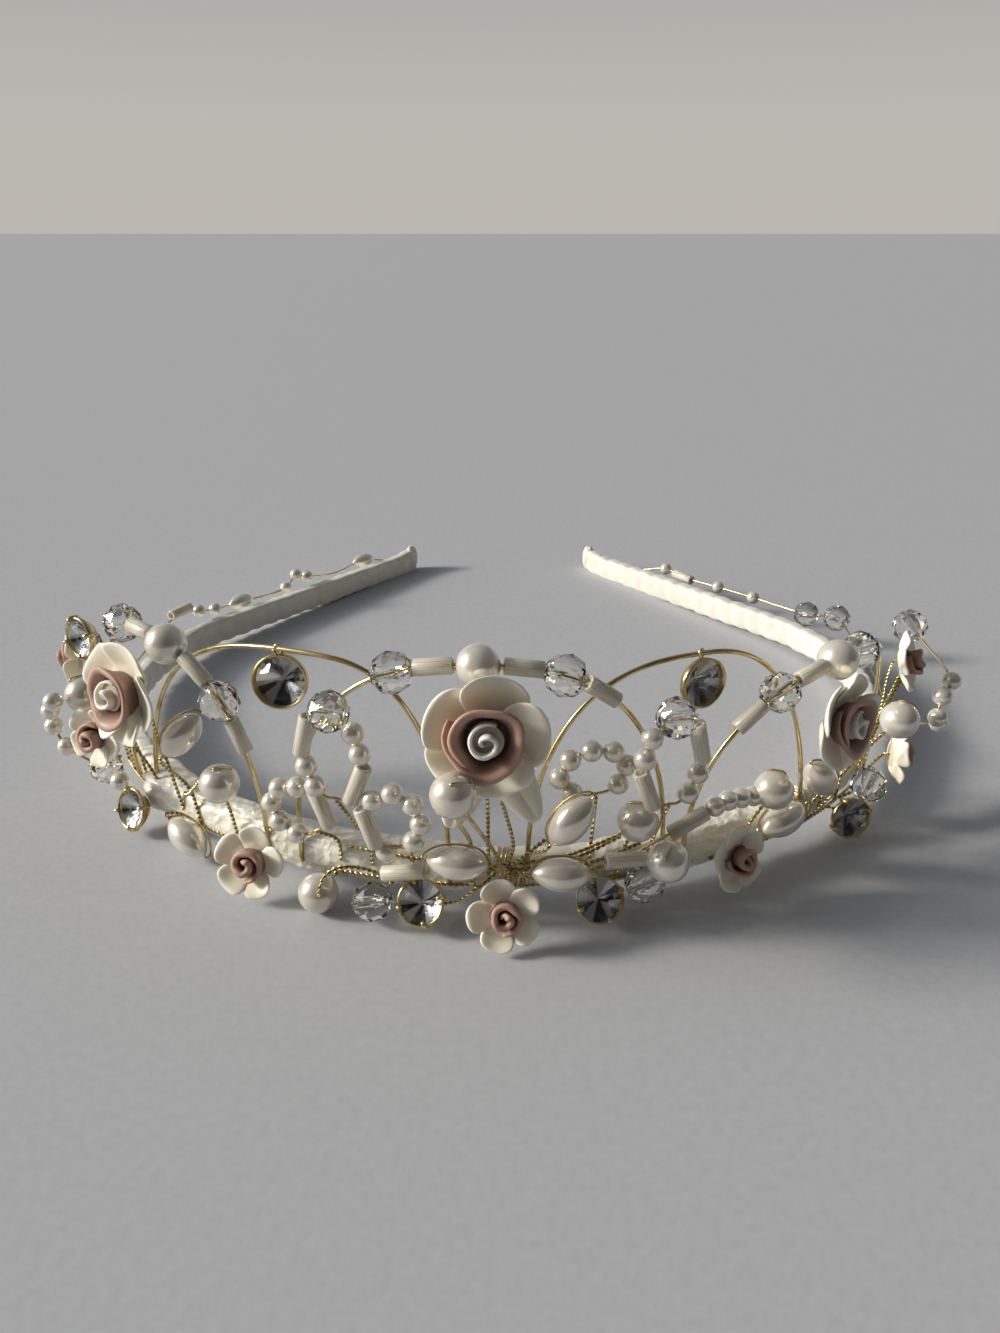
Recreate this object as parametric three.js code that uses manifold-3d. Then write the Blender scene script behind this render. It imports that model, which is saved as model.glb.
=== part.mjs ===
import * as THREE from 'three';
import { mergeVertices } from 'three/addons/utils/BufferGeometryUtils.js';
import Module from 'manifold-3d';

const wasm = await Module();
wasm.setup();

// Flower headband, lying on its edge. Millimetres, +Z up, decorated front towards -Y.

// Band: a front arc, two tighter side arcs and two straight arms that close towards the tips
const bandFrontRadius = 70;
const bandFrontSweep = THREE.MathUtils.degToRad(75);
const bandSideRadius = 46;
const bandSideSweep = THREE.MathUtils.degToRad(52);
const bandArmLength = 61;
const bandHeight = 4.8;
const bandThickness = 2.4;
const bandLift = 4;
const wrapPitch = 5.6;
const wrapRise = 0.25;
const wrapSlant = 0.35;
const tipLength = 5;
const tipRise = 1.6;
const tipRest = 9;

// Wires and the gap kept between pieces that touch
const wireRadius = 0.45;
const stemRadius = 0.38;
const wireSides = 5;
const seat = 0.3;

// Beads and stones
const pearlSize = 5.6;
const seedPearlSize = 3;
const ricePearlLength = 8.2;
const ricePearlWidth = 4.6;
const crystalSize = 5.6;
const bugleLength = 4.9;
const bugleWidth = 2.2;
const boreRadius = wireRadius + 0.45;
const beadSides = 10;
const crystalSides = 8;
const seedSides = 8;

// Roses
const largeRose = 12;
const petalCount = 5;
const petalNotch = 0.52;
const petalSteps = 5;
const petalWall = 0.9;
const petalDish = 0.12;
const petalSink = 0.08;
const budWall = 0.7;
const budSteps = 8;
const leafLength = 8.5;
const leafWidth = 4.6;

const frontLength = bandFrontRadius * bandFrontSweep;
const sideLength = bandSideRadius * bandSideSweep;
const halfLength = frontLength + sideLength + bandArmLength;
const zAxis = new THREE.Vector3(0, 0, 1);
const degrees = THREE.MathUtils.degToRad;

const gold = { color: 0xa98f4f, roughness: 0.3, metalness: 0.95 };
const ribbon = { color: 0xefece2, roughness: 0.55, metalness: 0 };
const porcelain = { color: 0xe6dccb, roughness: 0.4, metalness: 0 };
const pearl = { color: 0xece6da, roughness: 0.2, metalness: 0.1 };
const crystal = { color: 0xe6eaec, roughness: 0.05, metalness: 0 };
const foiledStone = { color: 0xaab0b8, roughness: 0.08, metalness: 0.4 };

// Point, outward side and running direction of the band at a signed distance from its front middle
function bandAt(along) {
  const side = along < 0 ? -1 : 1;
  const distance = Math.abs(along);
  const sideCentreX = (bandFrontRadius - bandSideRadius) * Math.sin(bandFrontSweep);
  const sideCentreY = bandFrontRadius - (bandFrontRadius - bandSideRadius) * Math.cos(bandFrontSweep);
  const onSide = Math.min(Math.max(distance - frontLength, 0), sideLength);
  const onArm = Math.max(distance - frontLength - sideLength, 0);
  const turn = Math.min(distance, frontLength) / bandFrontRadius + onSide / bandSideRadius;
  let x = bandFrontRadius * Math.sin(turn);
  let y = bandFrontRadius * (1 - Math.cos(turn));
  if (distance > frontLength) {
    x = sideCentreX + bandSideRadius * Math.sin(turn) + onArm * Math.cos(turn);
    y = sideCentreY - bandSideRadius * Math.cos(turn) + onArm * Math.sin(turn);
  }
  return {
    point: new THREE.Vector3(side * x, y, 0),
    outward: new THREE.Vector3(side * Math.sin(turn), -Math.cos(turn), 0),
    running: new THREE.Vector3(Math.cos(turn), side * Math.sin(turn), 0),
  };
}

const restDepth = bandAt(halfLength - tipRest).point.y;

function spot(along, out, up) {
  const frame = bandAt(along);
  return frame.point.addScaledVector(frame.outward, out).setZ(up);
}

// Height of the band's lower edge: lifted at the front, flat on the table at the tips
function bandFoot(along) {
  return Math.max(bandLift * (1 - bandAt(along).point.y / restDepth), 0);
}

function solidOf(geometry) {
  const bare = geometry.clone();
  bare.deleteAttribute('normal');
  bare.deleteAttribute('uv');
  const merged = mergeVertices(bare, 1e-4);
  const mesh = new wasm.Mesh({
    numProp: 3,
    vertProperties: new Float32Array(merged.attributes.position.array),
    triVerts: new Uint32Array(merged.index.array),
  });
  return new wasm.Manifold(mesh);
}

function geometryOf(solid) {
  const mesh = solid.getMesh();
  const geometry = new THREE.BufferGeometry();
  geometry.setAttribute('position', new THREE.BufferAttribute(new Float32Array(mesh.vertProperties), 3));
  geometry.setIndex(new THREE.BufferAttribute(new Uint32Array(mesh.triVerts), 1));
  return geometry;
}

function fused(geometries) {
  return geometryOf(geometries.map(solidOf).reduce((whole, piece) => whole.add(piece)));
}

// Moves every vertex of a geometry through a function
function reshaped(geometry, move) {
  const position = geometry.attributes.position;
  const vertex = new THREE.Vector3();
  for (let i = 0; i < position.count; i += 1) {
    vertex.fromBufferAttribute(position, i);
    const moved = move(vertex);
    position.setXYZ(i, moved.x, moved.y, moved.z);
  }
  return geometry;
}

// Round profile turned about Z: rows of [radius, height], from the axis to the axis
function turned(profile, sides) {
  const points = profile.map(([radius, height]) => new THREE.Vector2(radius, height));
  return new THREE.LatheGeometry(points, sides).rotateX(Math.PI / 2);
}

function pathThrough(points) {
  return new THREE.CatmullRomCurve3(points, false, 'centripetal');
}

function wireAlong(points, radius, steps) {
  const corners = [];
  for (let i = 0; i < wireSides; i += 1) {
    const angle = (i / wireSides) * 2 * Math.PI;
    corners.push(new THREE.Vector2(radius * Math.cos(angle), radius * Math.sin(angle)));
  }
  const extrudePath = pathThrough(points);
  return new THREE.ExtrudeGeometry(new THREE.Shape(corners), { extrudePath, steps, bevelEnabled: false });
}

function piece(name, geometry, look) {
  const mesh = new THREE.Mesh(geometry, new THREE.MeshStandardMaterial(look));
  mesh.name = name;
  return mesh;
}

// Direction seen from the band: turned sideways and tipped upwards from the outward side
function facing(along, yaw, pitch) {
  const direction = bandAt(along).outward.applyAxisAngle(zAxis, degrees(yaw));
  return direction.multiplyScalar(Math.cos(degrees(pitch))).setZ(Math.sin(degrees(pitch)));
}

// Places a piece whose own +Z looks along a direction, with its own +Y kept as upright as it can be
function aimed(mesh, position, direction, roll = 0) {
  const sideways = new THREE.Vector3().crossVectors(zAxis, direction).normalize();
  const upright = new THREE.Vector3().crossVectors(direction, sideways);
  mesh.quaternion.setFromRotationMatrix(new THREE.Matrix4().makeBasis(sideways, upright, direction));
  mesh.rotateZ(degrees(roll));
  mesh.position.copy(position);
  return mesh;
}

function threaded(mesh, position, axis) {
  mesh.quaternion.setFromUnitVectors(zAxis, axis);
  mesh.position.copy(position);
  return mesh;
}

// Ribbon-wound band: a six-sided section, flat above and below, that steps with each turn of the ribbon
function ribbonBand() {
  const halfWide = bandThickness / 2;
  const halfTall = bandHeight / 2;
  const flat = halfWide * 0.7;
  const section = new THREE.Shape();
  section.moveTo(halfWide, 0);
  section.lineTo(flat, halfTall);
  section.lineTo(-flat, halfTall);
  section.lineTo(-halfWide, 0);
  section.lineTo(-flat, -halfTall);
  section.lineTo(flat, -halfTall);
  section.closePath();
  const wraps = Math.round((2 * halfLength) / wrapPitch);
  const steps = wraps * 2;
  const depth = 2 * halfLength;
  const straight = new THREE.ExtrudeGeometry(section, { depth, steps, bevelEnabled: false });
  return reshaped(straight, (vertex) => {
    const step = Math.round((vertex.z / depth) * steps);
    const along = halfLength - vertex.z;
    const toTip = halfLength - Math.abs(along);
    const swell = step % 2 === 1 ? wrapRise : 0;
    const tip = Math.max(1 - toTip / tipLength, 0);
    const top = vertex.y > 0 ? swell + tip * tipRise : 0;
    const slanted = toTip > tipLength ? along + wrapSlant * vertex.y : along;
    return spot(slanted, vertex.x * (1 + swell / halfWide), bandFoot(along) + halfTall + vertex.y + top);
  });
}

// Wire arches: feet on the band's outer face, a rounded-square rise to a crown and a lean outwards
const archLegOut = 2.4;
const archFootUp = 6;
const archPower = 2.5;
const archRows = [
  { name: 'arch_centre', from: -27.5, crown: -2.5, to: 21.8, apex: 38, lean: 3 },
  { name: 'arch_left', from: -58, crown: -25, to: -6.6, apex: 35.8, lean: -1 },
  { name: 'arch_right', from: 3.5, crown: 26, to: 46, apex: 35.6, lean: -1 },
  { name: 'arch_side_left', from: -66, crown: -50, to: -32.8, apex: 36, lean: 5 },
  { name: 'arch_side_right', from: 24.8, crown: 48, to: 64, apex: 32.6, lean: 5 },
];

function archPoint(arch, along) {
  const half = along < arch.crown ? arch.crown - arch.from : arch.to - arch.crown;
  const across = Math.min(Math.abs(along - arch.crown) / half, 1);
  const rise = (1 - across ** archPower) ** (1 / archPower);
  const out = archLegOut + (arch.lean - archLegOut) * rise ** 1.5;
  return spot(along, out, archFootUp + (arch.apex - archFootUp) * rise);
}

function archPath(arch) {
  const points = [];
  const count = 16;
  for (let i = 0; i <= count; i += 1) {
    const cosine = -Math.cos((i / count) * Math.PI);
    const across = Math.abs(cosine) ** (2 / archPower);
    const reach = cosine < 0 ? arch.from - arch.crown : arch.to - arch.crown;
    points.push(archPoint(arch, arch.crown + across * reach));
  }
  return pathThrough(points);
}

// Beads strung on the arches, in order outwards from one that is set at a distance along the band
const strungRows = [
  { arch: 'arch_centre', anchor: -2.5, middle: 'pearl_top',
    before: ['bugle', 'crystal_centre_left'], after: ['bugle', 'crystal_centre_right', 'bugle'] },
  { arch: 'arch_side_left', anchor: -44.6, middle: 'pearl_side_left',
    before: ['bugle', 'crystal_far_left'], after: ['bugle', 'crystal_side_left', 'bugle'] },
  { arch: 'arch_side_right', anchor: 46, middle: 'pearl_side_right',
    before: ['bugle', 'crystal_side_right', 'bugle'], after: ['crystal_far_right'] },
];

const strungGap = 0.3;

function strungLength(name) {
  if (name.startsWith('bugle')) return bugleLength;
  return name.startsWith('pearl') ? pearlSize : crystalSize * 0.92;
}

// Share of a path's length at which it comes nearest to a point
function shareNearest(path, target) {
  const tries = 400;
  let best = 0;
  for (let i = 1; i <= tries; i += 1) {
    const isNearer = path.getPointAt(i / tries).distanceTo(target) < path.getPointAt(best).distanceTo(target);
    if (isNearer) best = i / tries;
  }
  return best;
}

// Every strung bead as its name, its arch, and its middle as a share of the wire's length
function strungBeads() {
  return strungRows.flatMap((row) => {
    const arch = archRows.find((candidate) => candidate.name === row.arch);
    const path = archPath(arch);
    const length = path.getLength();
    const share = shareNearest(path, archPoint(arch, row.anchor));
    const beads = [{ name: row.middle, arch: row.arch, share }];
    for (const [names, direction] of [[row.before, -1], [row.after, 1]]) {
      let reach = strungLength(row.middle) / 2;
      for (const name of names) {
        const half = strungLength(name) / 2;
        reach += strungGap + half;
        beads.push({ name, arch: row.arch, share: share + (direction * reach) / length });
        reach += half;
      }
    }
    return beads;
  });
}

// Short wires that hang a stone from the top of an arch
const dropRows = [
  { arch: 'arch_left', along: -30.4, length: 0.7 },
  { arch: 'arch_right', along: 27.3, length: 0.7 },
];

function archWire(arch) {
  const path = archPath(arch);
  const bodies = [wireAlong(path.points, wireRadius, 21)];
  for (const bugle of strungBeads().filter((bead) => bead.arch === arch.name && bead.name === 'bugle')) {
    const half = bugleLength / 2;
    const radius = bugleWidth / 2;
    const body = turned([[0, -half], [radius, -half], [radius, half], [0, half]], crystalSides);
    body.applyQuaternion(new THREE.Quaternion().setFromUnitVectors(zAxis, path.getTangentAt(bugle.share)));
    const place = path.getPointAt(bugle.share);
    bodies.push(body.translate(place.x, place.y, place.z));
  }
  for (const drop of dropRows.filter((row) => row.arch === arch.name)) {
    const top = archPoint(arch, drop.along);
    bodies.push(wireAlong([top, top.clone().setZ(top.z - drop.length)], stemRadius, 1));
  }
  return piece(arch.name, fused(bodies), gold);
}

function ballProfile(width, length, rows, bore = 0) {
  const profile = [];
  const trim = bore > 0 ? Math.asin(bore / (width / 2)) : 0;
  for (let i = 0; i <= rows; i += 1) {
    const angle = -Math.PI / 2 + trim + (i / rows) * (Math.PI - 2 * trim);
    const radius = bore > 0 ? (width / 2) * Math.cos(angle) : (width / 2) * Math.abs(Math.cos(angle));
    profile.push([i === 0 || i === rows ? bore : radius, (length / 2) * Math.sin(angle)]);
  }
  if (bore > 0) profile.push(profile[0]);
  return profile;
}

function crystalProfile(bore = 0) {
  const half = crystalSize / 2;
  const rows = [[0.45, -0.92], [0.86, -0.52], [1, 0], [0.86, 0.52], [0.45, 0.92]];
  const outer = rows.map(([radius, height]) => [radius * half, height * half]);
  const low = [bore, -0.92 * half];
  return [low, ...outer, [bore, 0.92 * half], ...(bore > 0 ? [low] : [])];
}

// Drilled pearls and crystals on the arches, each its own piece
function archBeads() {
  return strungBeads().filter((bead) => bead.name !== 'bugle').map((bead) => {
    const path = archPath(archRows.find((candidate) => candidate.name === bead.arch));
    const isPearl = bead.name.startsWith('pearl');
    const profile = isPearl ? ballProfile(pearlSize, pearlSize, 5, boreRadius) : crystalProfile(boreRadius);
    const body = turned(profile, isPearl ? beadSides : crystalSides);
    const mesh = piece(bead.name, body, isPearl ? pearl : crystal);
    return threaded(mesh, path.getPointAt(bead.share), path.getTangentAt(bead.share));
  });
}

// Beads at the ends of stems: place on the band, and for long pearls the slope and turn of their length
const pearlRows = [
  { name: 'pearl_centre_low', along: -4.5, out: 14.4, up: 26.8 },
  { name: 'pearl_right_high', along: 17, out: 4.8, up: 15.5 },
  { name: 'pearl_right_low', along: 19.8, out: 8.4, up: 11 },
  { name: 'pearl_right_side', along: 37.3, out: 4.6, up: 15 },
  { name: 'pearl_right_out', along: 58.4, out: 9, up: 20 },
  { name: 'pearl_left_low', along: -23.5, out: 5.6, up: 3 },
  { name: 'pearl_left_high', along: -38, out: 5, up: 16 },
  { name: 'pearl_left_out', along: -63.5, out: 9, up: 22 },
];

const ricePearlRows = [
  { name: 'rice_pearl_centre_left', along: -5, out: 6.5, up: 11.5, slope: -4 },
  { name: 'rice_pearl_centre_high', along: 8.2, out: 7, up: 18, slope: 52 },
  { name: 'rice_pearl_centre_low', along: 7.4, out: 6.5, up: 9.5, slope: -6 },
  { name: 'rice_pearl_left_high', along: -44.2, out: 5, up: 21.6, slope: 48, yaw: 40 },
  { name: 'rice_pearl_left_low', along: -46.5, out: 5, up: 3.6, slope: -24 },
  { name: 'rice_pearl_right_low', along: 40, out: 4.6, up: 9.2, slope: 12 },
  { name: 'rice_pearl_right_high', along: 45, out: 5.8, up: 14.8, slope: -50 },
];

const crystalRows = [
  { name: 'crystal_front_left', along: -16, out: 5.8, up: 3.4, slope: 15 },
  { name: 'crystal_front_right', along: 18.2, out: 5.7, up: 6, slope: 20 },
  { name: 'crystal_right', along: 58.6, out: 6.2, up: 7.6, slope: 35 },
];

function slopedAxis(row) {
  const running = bandAt(row.along).running.applyAxisAngle(zAxis, degrees(row.yaw ?? 0));
  return running.multiplyScalar(Math.cos(degrees(row.slope))).setZ(Math.sin(degrees(row.slope)));
}

function stemBeads() {
  const ball = ballProfile(pearlSize, pearlSize, 5);
  const grain = ballProfile(ricePearlWidth, ricePearlLength, 5);
  const rounds = pearlRows.map((row) => {
    const mesh = piece(row.name, turned(ball, beadSides), pearl);
    return threaded(mesh, spot(row.along, row.out, row.up), zAxis);
  });
  const longs = ricePearlRows.map((row) => {
    const mesh = piece(row.name, turned(grain, beadSides), pearl);
    return threaded(mesh, spot(row.along, row.out, row.up), slopedAxis(row));
  });
  const cuts = crystalRows.map((row) => {
    const mesh = piece(row.name, turned(crystalProfile(), crystalSides), crystal);
    return threaded(mesh, spot(row.along, row.out, row.up), slopedAxis(row));
  });
  return [...rounds, ...longs, ...cuts];
}

// Rhinestones: a table and eight crown facets over a cup with four claws
const rhinestoneRows = [
  { name: 'rhinestone_arch_left', along: -30.4, out: -1, up: 31, yaw: 20, pitch: 12, width: 7.4 },
  { name: 'rhinestone_arch_right', along: 27.3, out: -1, up: 31.5, yaw: 6, pitch: 5, width: 6.8 },
  { name: 'rhinestone_front_left', along: -9.7, out: 5.4, up: 3.9, yaw: -8, pitch: 35, width: 6.4 },
  { name: 'rhinestone_front_right', along: 12.4, out: 5.4, up: 3.9, yaw: -6, pitch: 30, width: 6.4 },
  { name: 'rhinestone_left', along: -57.5, out: 6.6, up: 4, yaw: 10, pitch: 20, width: 6.4 },
  { name: 'rhinestone_right', along: 53.6, out: 6.2, up: 4.3, yaw: -30, pitch: 12, width: 6.4 },
  { name: 'rhinestone_back_left', along: -67.8, out: 6.5, up: 29, yaw: 20, pitch: 5, width: 6.4 },
];

function rhinestone(row) {
  const half = row.width / 2;
  const outline = [[0, -0.42], [0.62, -0.42], [1, 0.14], [0.56, 0.5], [0, 0.5]];
  const bodies = [turned(outline.map(([reach, height]) => [reach * half, height * half]), crystalSides)];
  const clawSize = 0.18 * half;
  for (let i = 0; i < 4; i += 1) {
    const claw = new THREE.BoxGeometry(clawSize * 1.6, clawSize, 0.42 * half);
    claw.translate(0.86 * half, 0, 0.16 * half).rotateZ((i / 4) * 2 * Math.PI + Math.PI / 8);
    bodies.push(claw);
  }
  const mesh = piece(row.name, fused(bodies), foiledStone);
  return aimed(mesh, spot(row.along, row.out, row.up), facing(row.along, row.yaw, row.pitch));
}

// Roses: a five-petalled cream cup round a rolled inner petal; the large ones have a second roll inside it
const roseRows = [
  { name: 'rose_centre', along: -1.5, out: 9, up: 31.6, yaw: 2, pitch: 10, roll: 23, width: 15.5,
    leaves: [137, -175] },
  { name: 'rose_left', along: -49.2, out: 9.5, up: 28.2, yaw: 3, pitch: 8, roll: 20, width: 15 },
  { name: 'rose_right', along: 43, out: 9.5, up: 26, yaw: 8, pitch: 6, roll: 10, width: 13.6 },
  { name: 'rose_front', along: 0.5, out: 9, up: 5.3, yaw: 0, pitch: 20, roll: -19, width: 10 },
  { name: 'rose_front_left', along: -32.7, out: 6.8, up: 6, yaw: 16, pitch: 22, roll: 27, width: 10.4 },
  { name: 'rose_front_right', along: 30.6, out: 6.6, up: 7.4, yaw: 8, pitch: 12, roll: 35, width: 9.6 },
  { name: 'rose_low_left', along: -58.2, out: 10, up: 17.8, yaw: 24, pitch: 8, roll: 12, width: 9.6 },
  { name: 'rose_low_right', along: 63, out: 8, up: 11.5, yaw: 30, pitch: 0, roll: 24, width: 9.4 },
  { name: 'rose_back_left', along: -72.5, out: 7.5, up: 24, yaw: -20, pitch: 5, roll: 0, width: 9.4 },
  { name: 'rose_back_right', along: 64, out: 6.6, up: 26.6, yaw: 10, pitch: 15, roll: 36, width: 9.4 },
];

// Rolled petal: a spiral strip stood on edge, running from its outer reach to its inner reach
function rolledPetal(outerReach, innerReach, turns, wall, tall) {
  const steps = Math.round(budSteps * turns);
  const outer = [];
  const inner = [];
  for (let i = 0; i <= steps; i += 1) {
    const angle = (i / budSteps) * 2 * Math.PI;
    const reach = outerReach + ((innerReach - outerReach) * i) / steps;
    outer.push(new THREE.Vector2(reach * Math.cos(angle), reach * Math.sin(angle)));
    inner.push(new THREE.Vector2((reach - wall) * Math.cos(angle), (reach - wall) * Math.sin(angle)));
  }
  const strip = new THREE.Shape([...outer, ...inner.reverse()]);
  return new THREE.ExtrudeGeometry(strip, { depth: tall, steps: 1, bevelEnabled: false });
}

// Five round petals in one cut-out plate, dished upwards from their notches to their tips
function petalPlate(width) {
  const count = petalCount * petalSteps;
  const outline = [];
  for (let i = 0; i < count; i += 1) {
    const angle = (i / count) * 2 * Math.PI + Math.PI / 2;
    const fullness = Math.sqrt(Math.abs(Math.sin((i / petalSteps) * Math.PI)));
    const reach = (width / 2) * (petalNotch + (1 - petalNotch) * fullness);
    outline.push(new THREE.Vector2(reach * Math.cos(angle), reach * Math.sin(angle)));
  }
  const depth = petalWall;
  const plate = new THREE.ExtrudeGeometry(new THREE.Shape(outline), { depth, steps: 1, bevelEnabled: false });
  return reshaped(plate, (vertex) => {
    const reach = Math.hypot(vertex.x, vertex.y) / (width / 2);
    const rise = (Math.max(reach - petalNotch, 0) / (1 - petalNotch)) ** 1.3;
    return vertex.clone().setZ(vertex.z + width * (petalDish * rise - petalSink));
  });
}

function rose(row) {
  const half = row.width / 2;
  const floor = petalWall / 3 - petalSink * row.width;
  const bodies = [petalPlate(row.width)];
  if (row.width > largeRose) {
    const inner = rolledPetal(half * 0.54, half * 0.36, 1.2, budWall, half * 0.56);
    const heart = rolledPetal(half * 0.24, budWall + 0.2, 1.3, budWall * 0.8, half * 0.7);
    bodies.push(inner.translate(0, 0, floor), heart.rotateZ(2).translate(0, 0, floor));
  } else {
    bodies.push(rolledPetal(half * 0.48, budWall + 0.2, 1.3, budWall, half * 0.62).translate(0, 0, floor));
  }
  for (const leaf of row.leaves ?? []) {
    const blade = new THREE.SphereGeometry(1, 6, 4).scale(leafWidth / 2, leafLength / 2, petalWall / 2);
    const swung = blade.translate(0, leafLength / 2 + half * 0.3, 0).rotateX(degrees(-6));
    bodies.push(swung.rotateZ(degrees(leaf)).translate(0, 0, floor));
  }
  const mesh = piece(row.name, fused(bodies), porcelain);
  const direction = facing(row.along, row.yaw, row.pitch);
  return aimed(mesh, spot(row.along, row.out, row.up), direction, row.roll);
}

// Strings of small beads: straight profile of wire and beads, bent along a path
const beadKinds = {
  pearl: { length: seedPearlSize, rows: [[0.46, 0.8], [0.46, 2.2]], scale: seedPearlSize },
  bugle: { length: 6, rows: [[1, 0.1], [1, 5.9]], scale: 1.1 },
  crystal: { length: 5.4, rows: [[0.5, 0.2], [1, 1.8], [1, 3.6], [0.5, 5.2]], scale: 2.8 },
  grain: { length: 7, rows: [[0.92, 1.6], [0.92, 5.4]], scale: 1.9 },
};

function beadString(points, beads, radius, step) {
  const path = pathThrough(points);
  const length = path.getLength();
  const profile = [[0, 0], [radius, 0]];
  for (const bead of [...beads].sort((one, other) => one.at - other.at)) {
    const kind = beadKinds[bead.kind];
    const start = bead.at - kind.length / 2;
    const last = profile[profile.length - 1][1];
    const plain = Math.ceil((start - last - 0.5) / step);
    for (let i = 1; i <= plain; i += 1) profile.push([radius, last + ((start - last) * i) / plain]);
    for (const [width, height] of kind.rows) profile.push([width * kind.scale, start + height]);
    profile.push([radius, start + kind.length]);
  }
  const last = profile[profile.length - 1][1];
  const plainSteps = Math.max(Math.round((length - last) / step), 1);
  for (let i = 1; i <= plainSteps; i += 1) {
    profile.push([radius, last + ((length - last) * i) / plainSteps]);
  }
  profile.push([0, length]);
  const straight = turned(profile, seedSides);
  const frames = path.computeFrenetFrames(200);
  return reshaped(straight, (vertex) => {
    const at = THREE.MathUtils.clamp(vertex.z / length, 0, 1);
    const index = Math.round(at * 200);
    const moved = path.getPointAt(at);
    moved.addScaledVector(frames.normals[index], vertex.x);
    return moved.addScaledVector(frames.binormals[index], vertex.y);
  });
}

// Pearl loops: a ring of beads on a stem, sized by its beads, which run round it from its foot
const loopRows = [
  { name: 'pearl_loop_left', along: -12.4, out: 7, up: 17.6, aspect: 0.8, turn: 0, footAlong: -11.6,
    beads: ['pearl', 'pearl', 'pearl', 'pearl', 'pearl', 'bugle'] },
  { name: 'pearl_loop_far_left', along: -25.6, out: 5.2, up: 15.6, aspect: 1, turn: 40, footAlong: -21.5,
    beads: ['bugle', 'pearl', 'pearl', 'pearl', 'pearl', 'pearl'] },
  { name: 'pearl_loop_tall_left', along: -19.4, out: 7, up: 26, aspect: 0.55, turn: 0, footAlong: -17,
    beads: ['bugle', 'pearl', 'pearl', 'crystal', 'bugle', 'pearl', 'pearl'] },
  { name: 'pearl_loop_tall_right', along: 20, out: 7, up: 25, aspect: 0.55, turn: 0, footAlong: 20,
    beads: ['pearl', 'pearl', 'bugle', 'crystal', 'pearl', 'pearl', 'bugle'] },
  { name: 'pearl_loop_right', along: 11.6, out: 3, up: 22.4, aspect: 1.3, turn: 8, footAlong: 11.6,
    beads: ['pearl', 'pearl', 'pearl', 'pearl', 'pearl', 'pearl', 'pearl'] },
];

// Points of a loop's ring, from one side of its foot round to the other
function ringPoints(row, size) {
  const gapAngle = 0.3;
  const count = 14;
  const turnBy = degrees(row.turn);
  const points = [];
  for (let i = 0; i <= count; i += 1) {
    const angle = -Math.PI / 2 + gapAngle + (i / count) * (2 * Math.PI - 2 * gapAngle);
    const across = (size * row.aspect * Math.cos(angle)) / 2;
    const above = (size * Math.sin(angle)) / 2;
    const along = row.along + across * Math.cos(turnBy) - above * Math.sin(turnBy);
    points.push(spot(along, row.out, row.up + across * Math.sin(turnBy) + above * Math.cos(turnBy)));
  }
  return points;
}

function pearlLoop(row) {
  const strung = row.beads.reduce((sum, kind) => sum + beadKinds[kind].length, 0);
  const trial = 10;
  const size = (trial * (strung + 0.8)) / pathThrough(ringPoints(row, trial)).getLength();
  const foot = bandFoot(row.footAlong) + bandHeight;
  const stem = [spot(row.footAlong, archLegOut, foot - 2), spot(row.footAlong, archLegOut + 0.4, foot + 1.5)];
  const ring = ringPoints(row, size);
  let at = pathThrough([...stem, ring[0]]).getLength() + 0.4;
  const beads = row.beads.map((kind) => {
    const bead = { kind, at: at + beadKinds[kind].length / 2 };
    at += beadKinds[kind].length;
    return bead;
  });
  return piece(row.name, beadString([...stem, ...ring], beads, stemRadius, 4), pearl);
}

// Bead strings along the outer sides of the arms; a row is a point of the wire, with or without a bead
const stringRows = {
  bead_string_left: [
    { along: -63, out: 13.6, up: 22.4, bead: 'pearl' },
    { along: -65.4, out: 13.6, up: 19.8, bead: 'pearl' },
    { along: -66.4, out: 13.4, up: 16.6, bead: 'pearl' },
    { along: -65.2, out: 12.4, up: 13.4, bead: 'pearl' },
    { along: -64.6, out: 7.4, up: 8.4, bead: 'crystal' },
    { along: -75, out: 4, up: 7.4 },
    { along: -96, out: 2.4, up: 6.4 },
    { along: -119, out: 3.6, up: 8 },
    { along: -124.4, out: 3.8, up: 9.6, bead: 'bugle' },
    { along: -129, out: 3.6, up: 8, bead: 'pearl' },
    { along: -133, out: 3.6, up: 7, bead: 'pearl' },
    { along: -140.5, out: 3.8, up: 6.4, bead: 'grain' },
    { along: -153.6, out: 3.6, up: 6, bead: 'pearl' },
    { along: -157, out: 3.6, up: 8.2, bead: 'pearl' },
    { along: -160.4, out: 3.6, up: 6.8, bead: 'pearl' },
    { along: -169, out: 3.4, up: 5.2 },
    { along: -180, out: 3.8, up: 5.4, bead: 'grain' },
    { along: -186, out: 2.2, up: 4.2 },
  ],
  bead_string_right: [
    { along: 76.4, out: 4.2, up: 27, bead: 'crystal' },
    { along: 67.6, out: 12.6, up: 23.4, bead: 'pearl' },
    { along: 64.6, out: 12.4, up: 22.2, bead: 'pearl' },
    { along: 63.6, out: 12.6, up: 19.2, bead: 'pearl' },
    { along: 66, out: 12.4, up: 17, bead: 'pearl' },
    { along: 71, out: 8, up: 13 },
    { along: 77, out: 4.2, up: 8.4 },
    { along: 98, out: 2.4, up: 6.6 },
    { along: 114, out: 3.6, up: 8.4 },
    { along: 120, out: 4.4, up: 9.8, bead: 'crystal' },
    { along: 128.2, out: 4.4, up: 7.4, bead: 'crystal' },
    { along: 142, out: 3.6, up: 7, bead: 'pearl' },
    { along: 152.4, out: 3.6, up: 6.4, bead: 'pearl' },
    { along: 163.4, out: 3.4, up: 5.8, bead: 'bugle' },
    { along: 169.4, out: 3.6, up: 6.2, bead: 'pearl' },
    { along: 176, out: 2.2, up: 4.4 },
  ],
};

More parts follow.
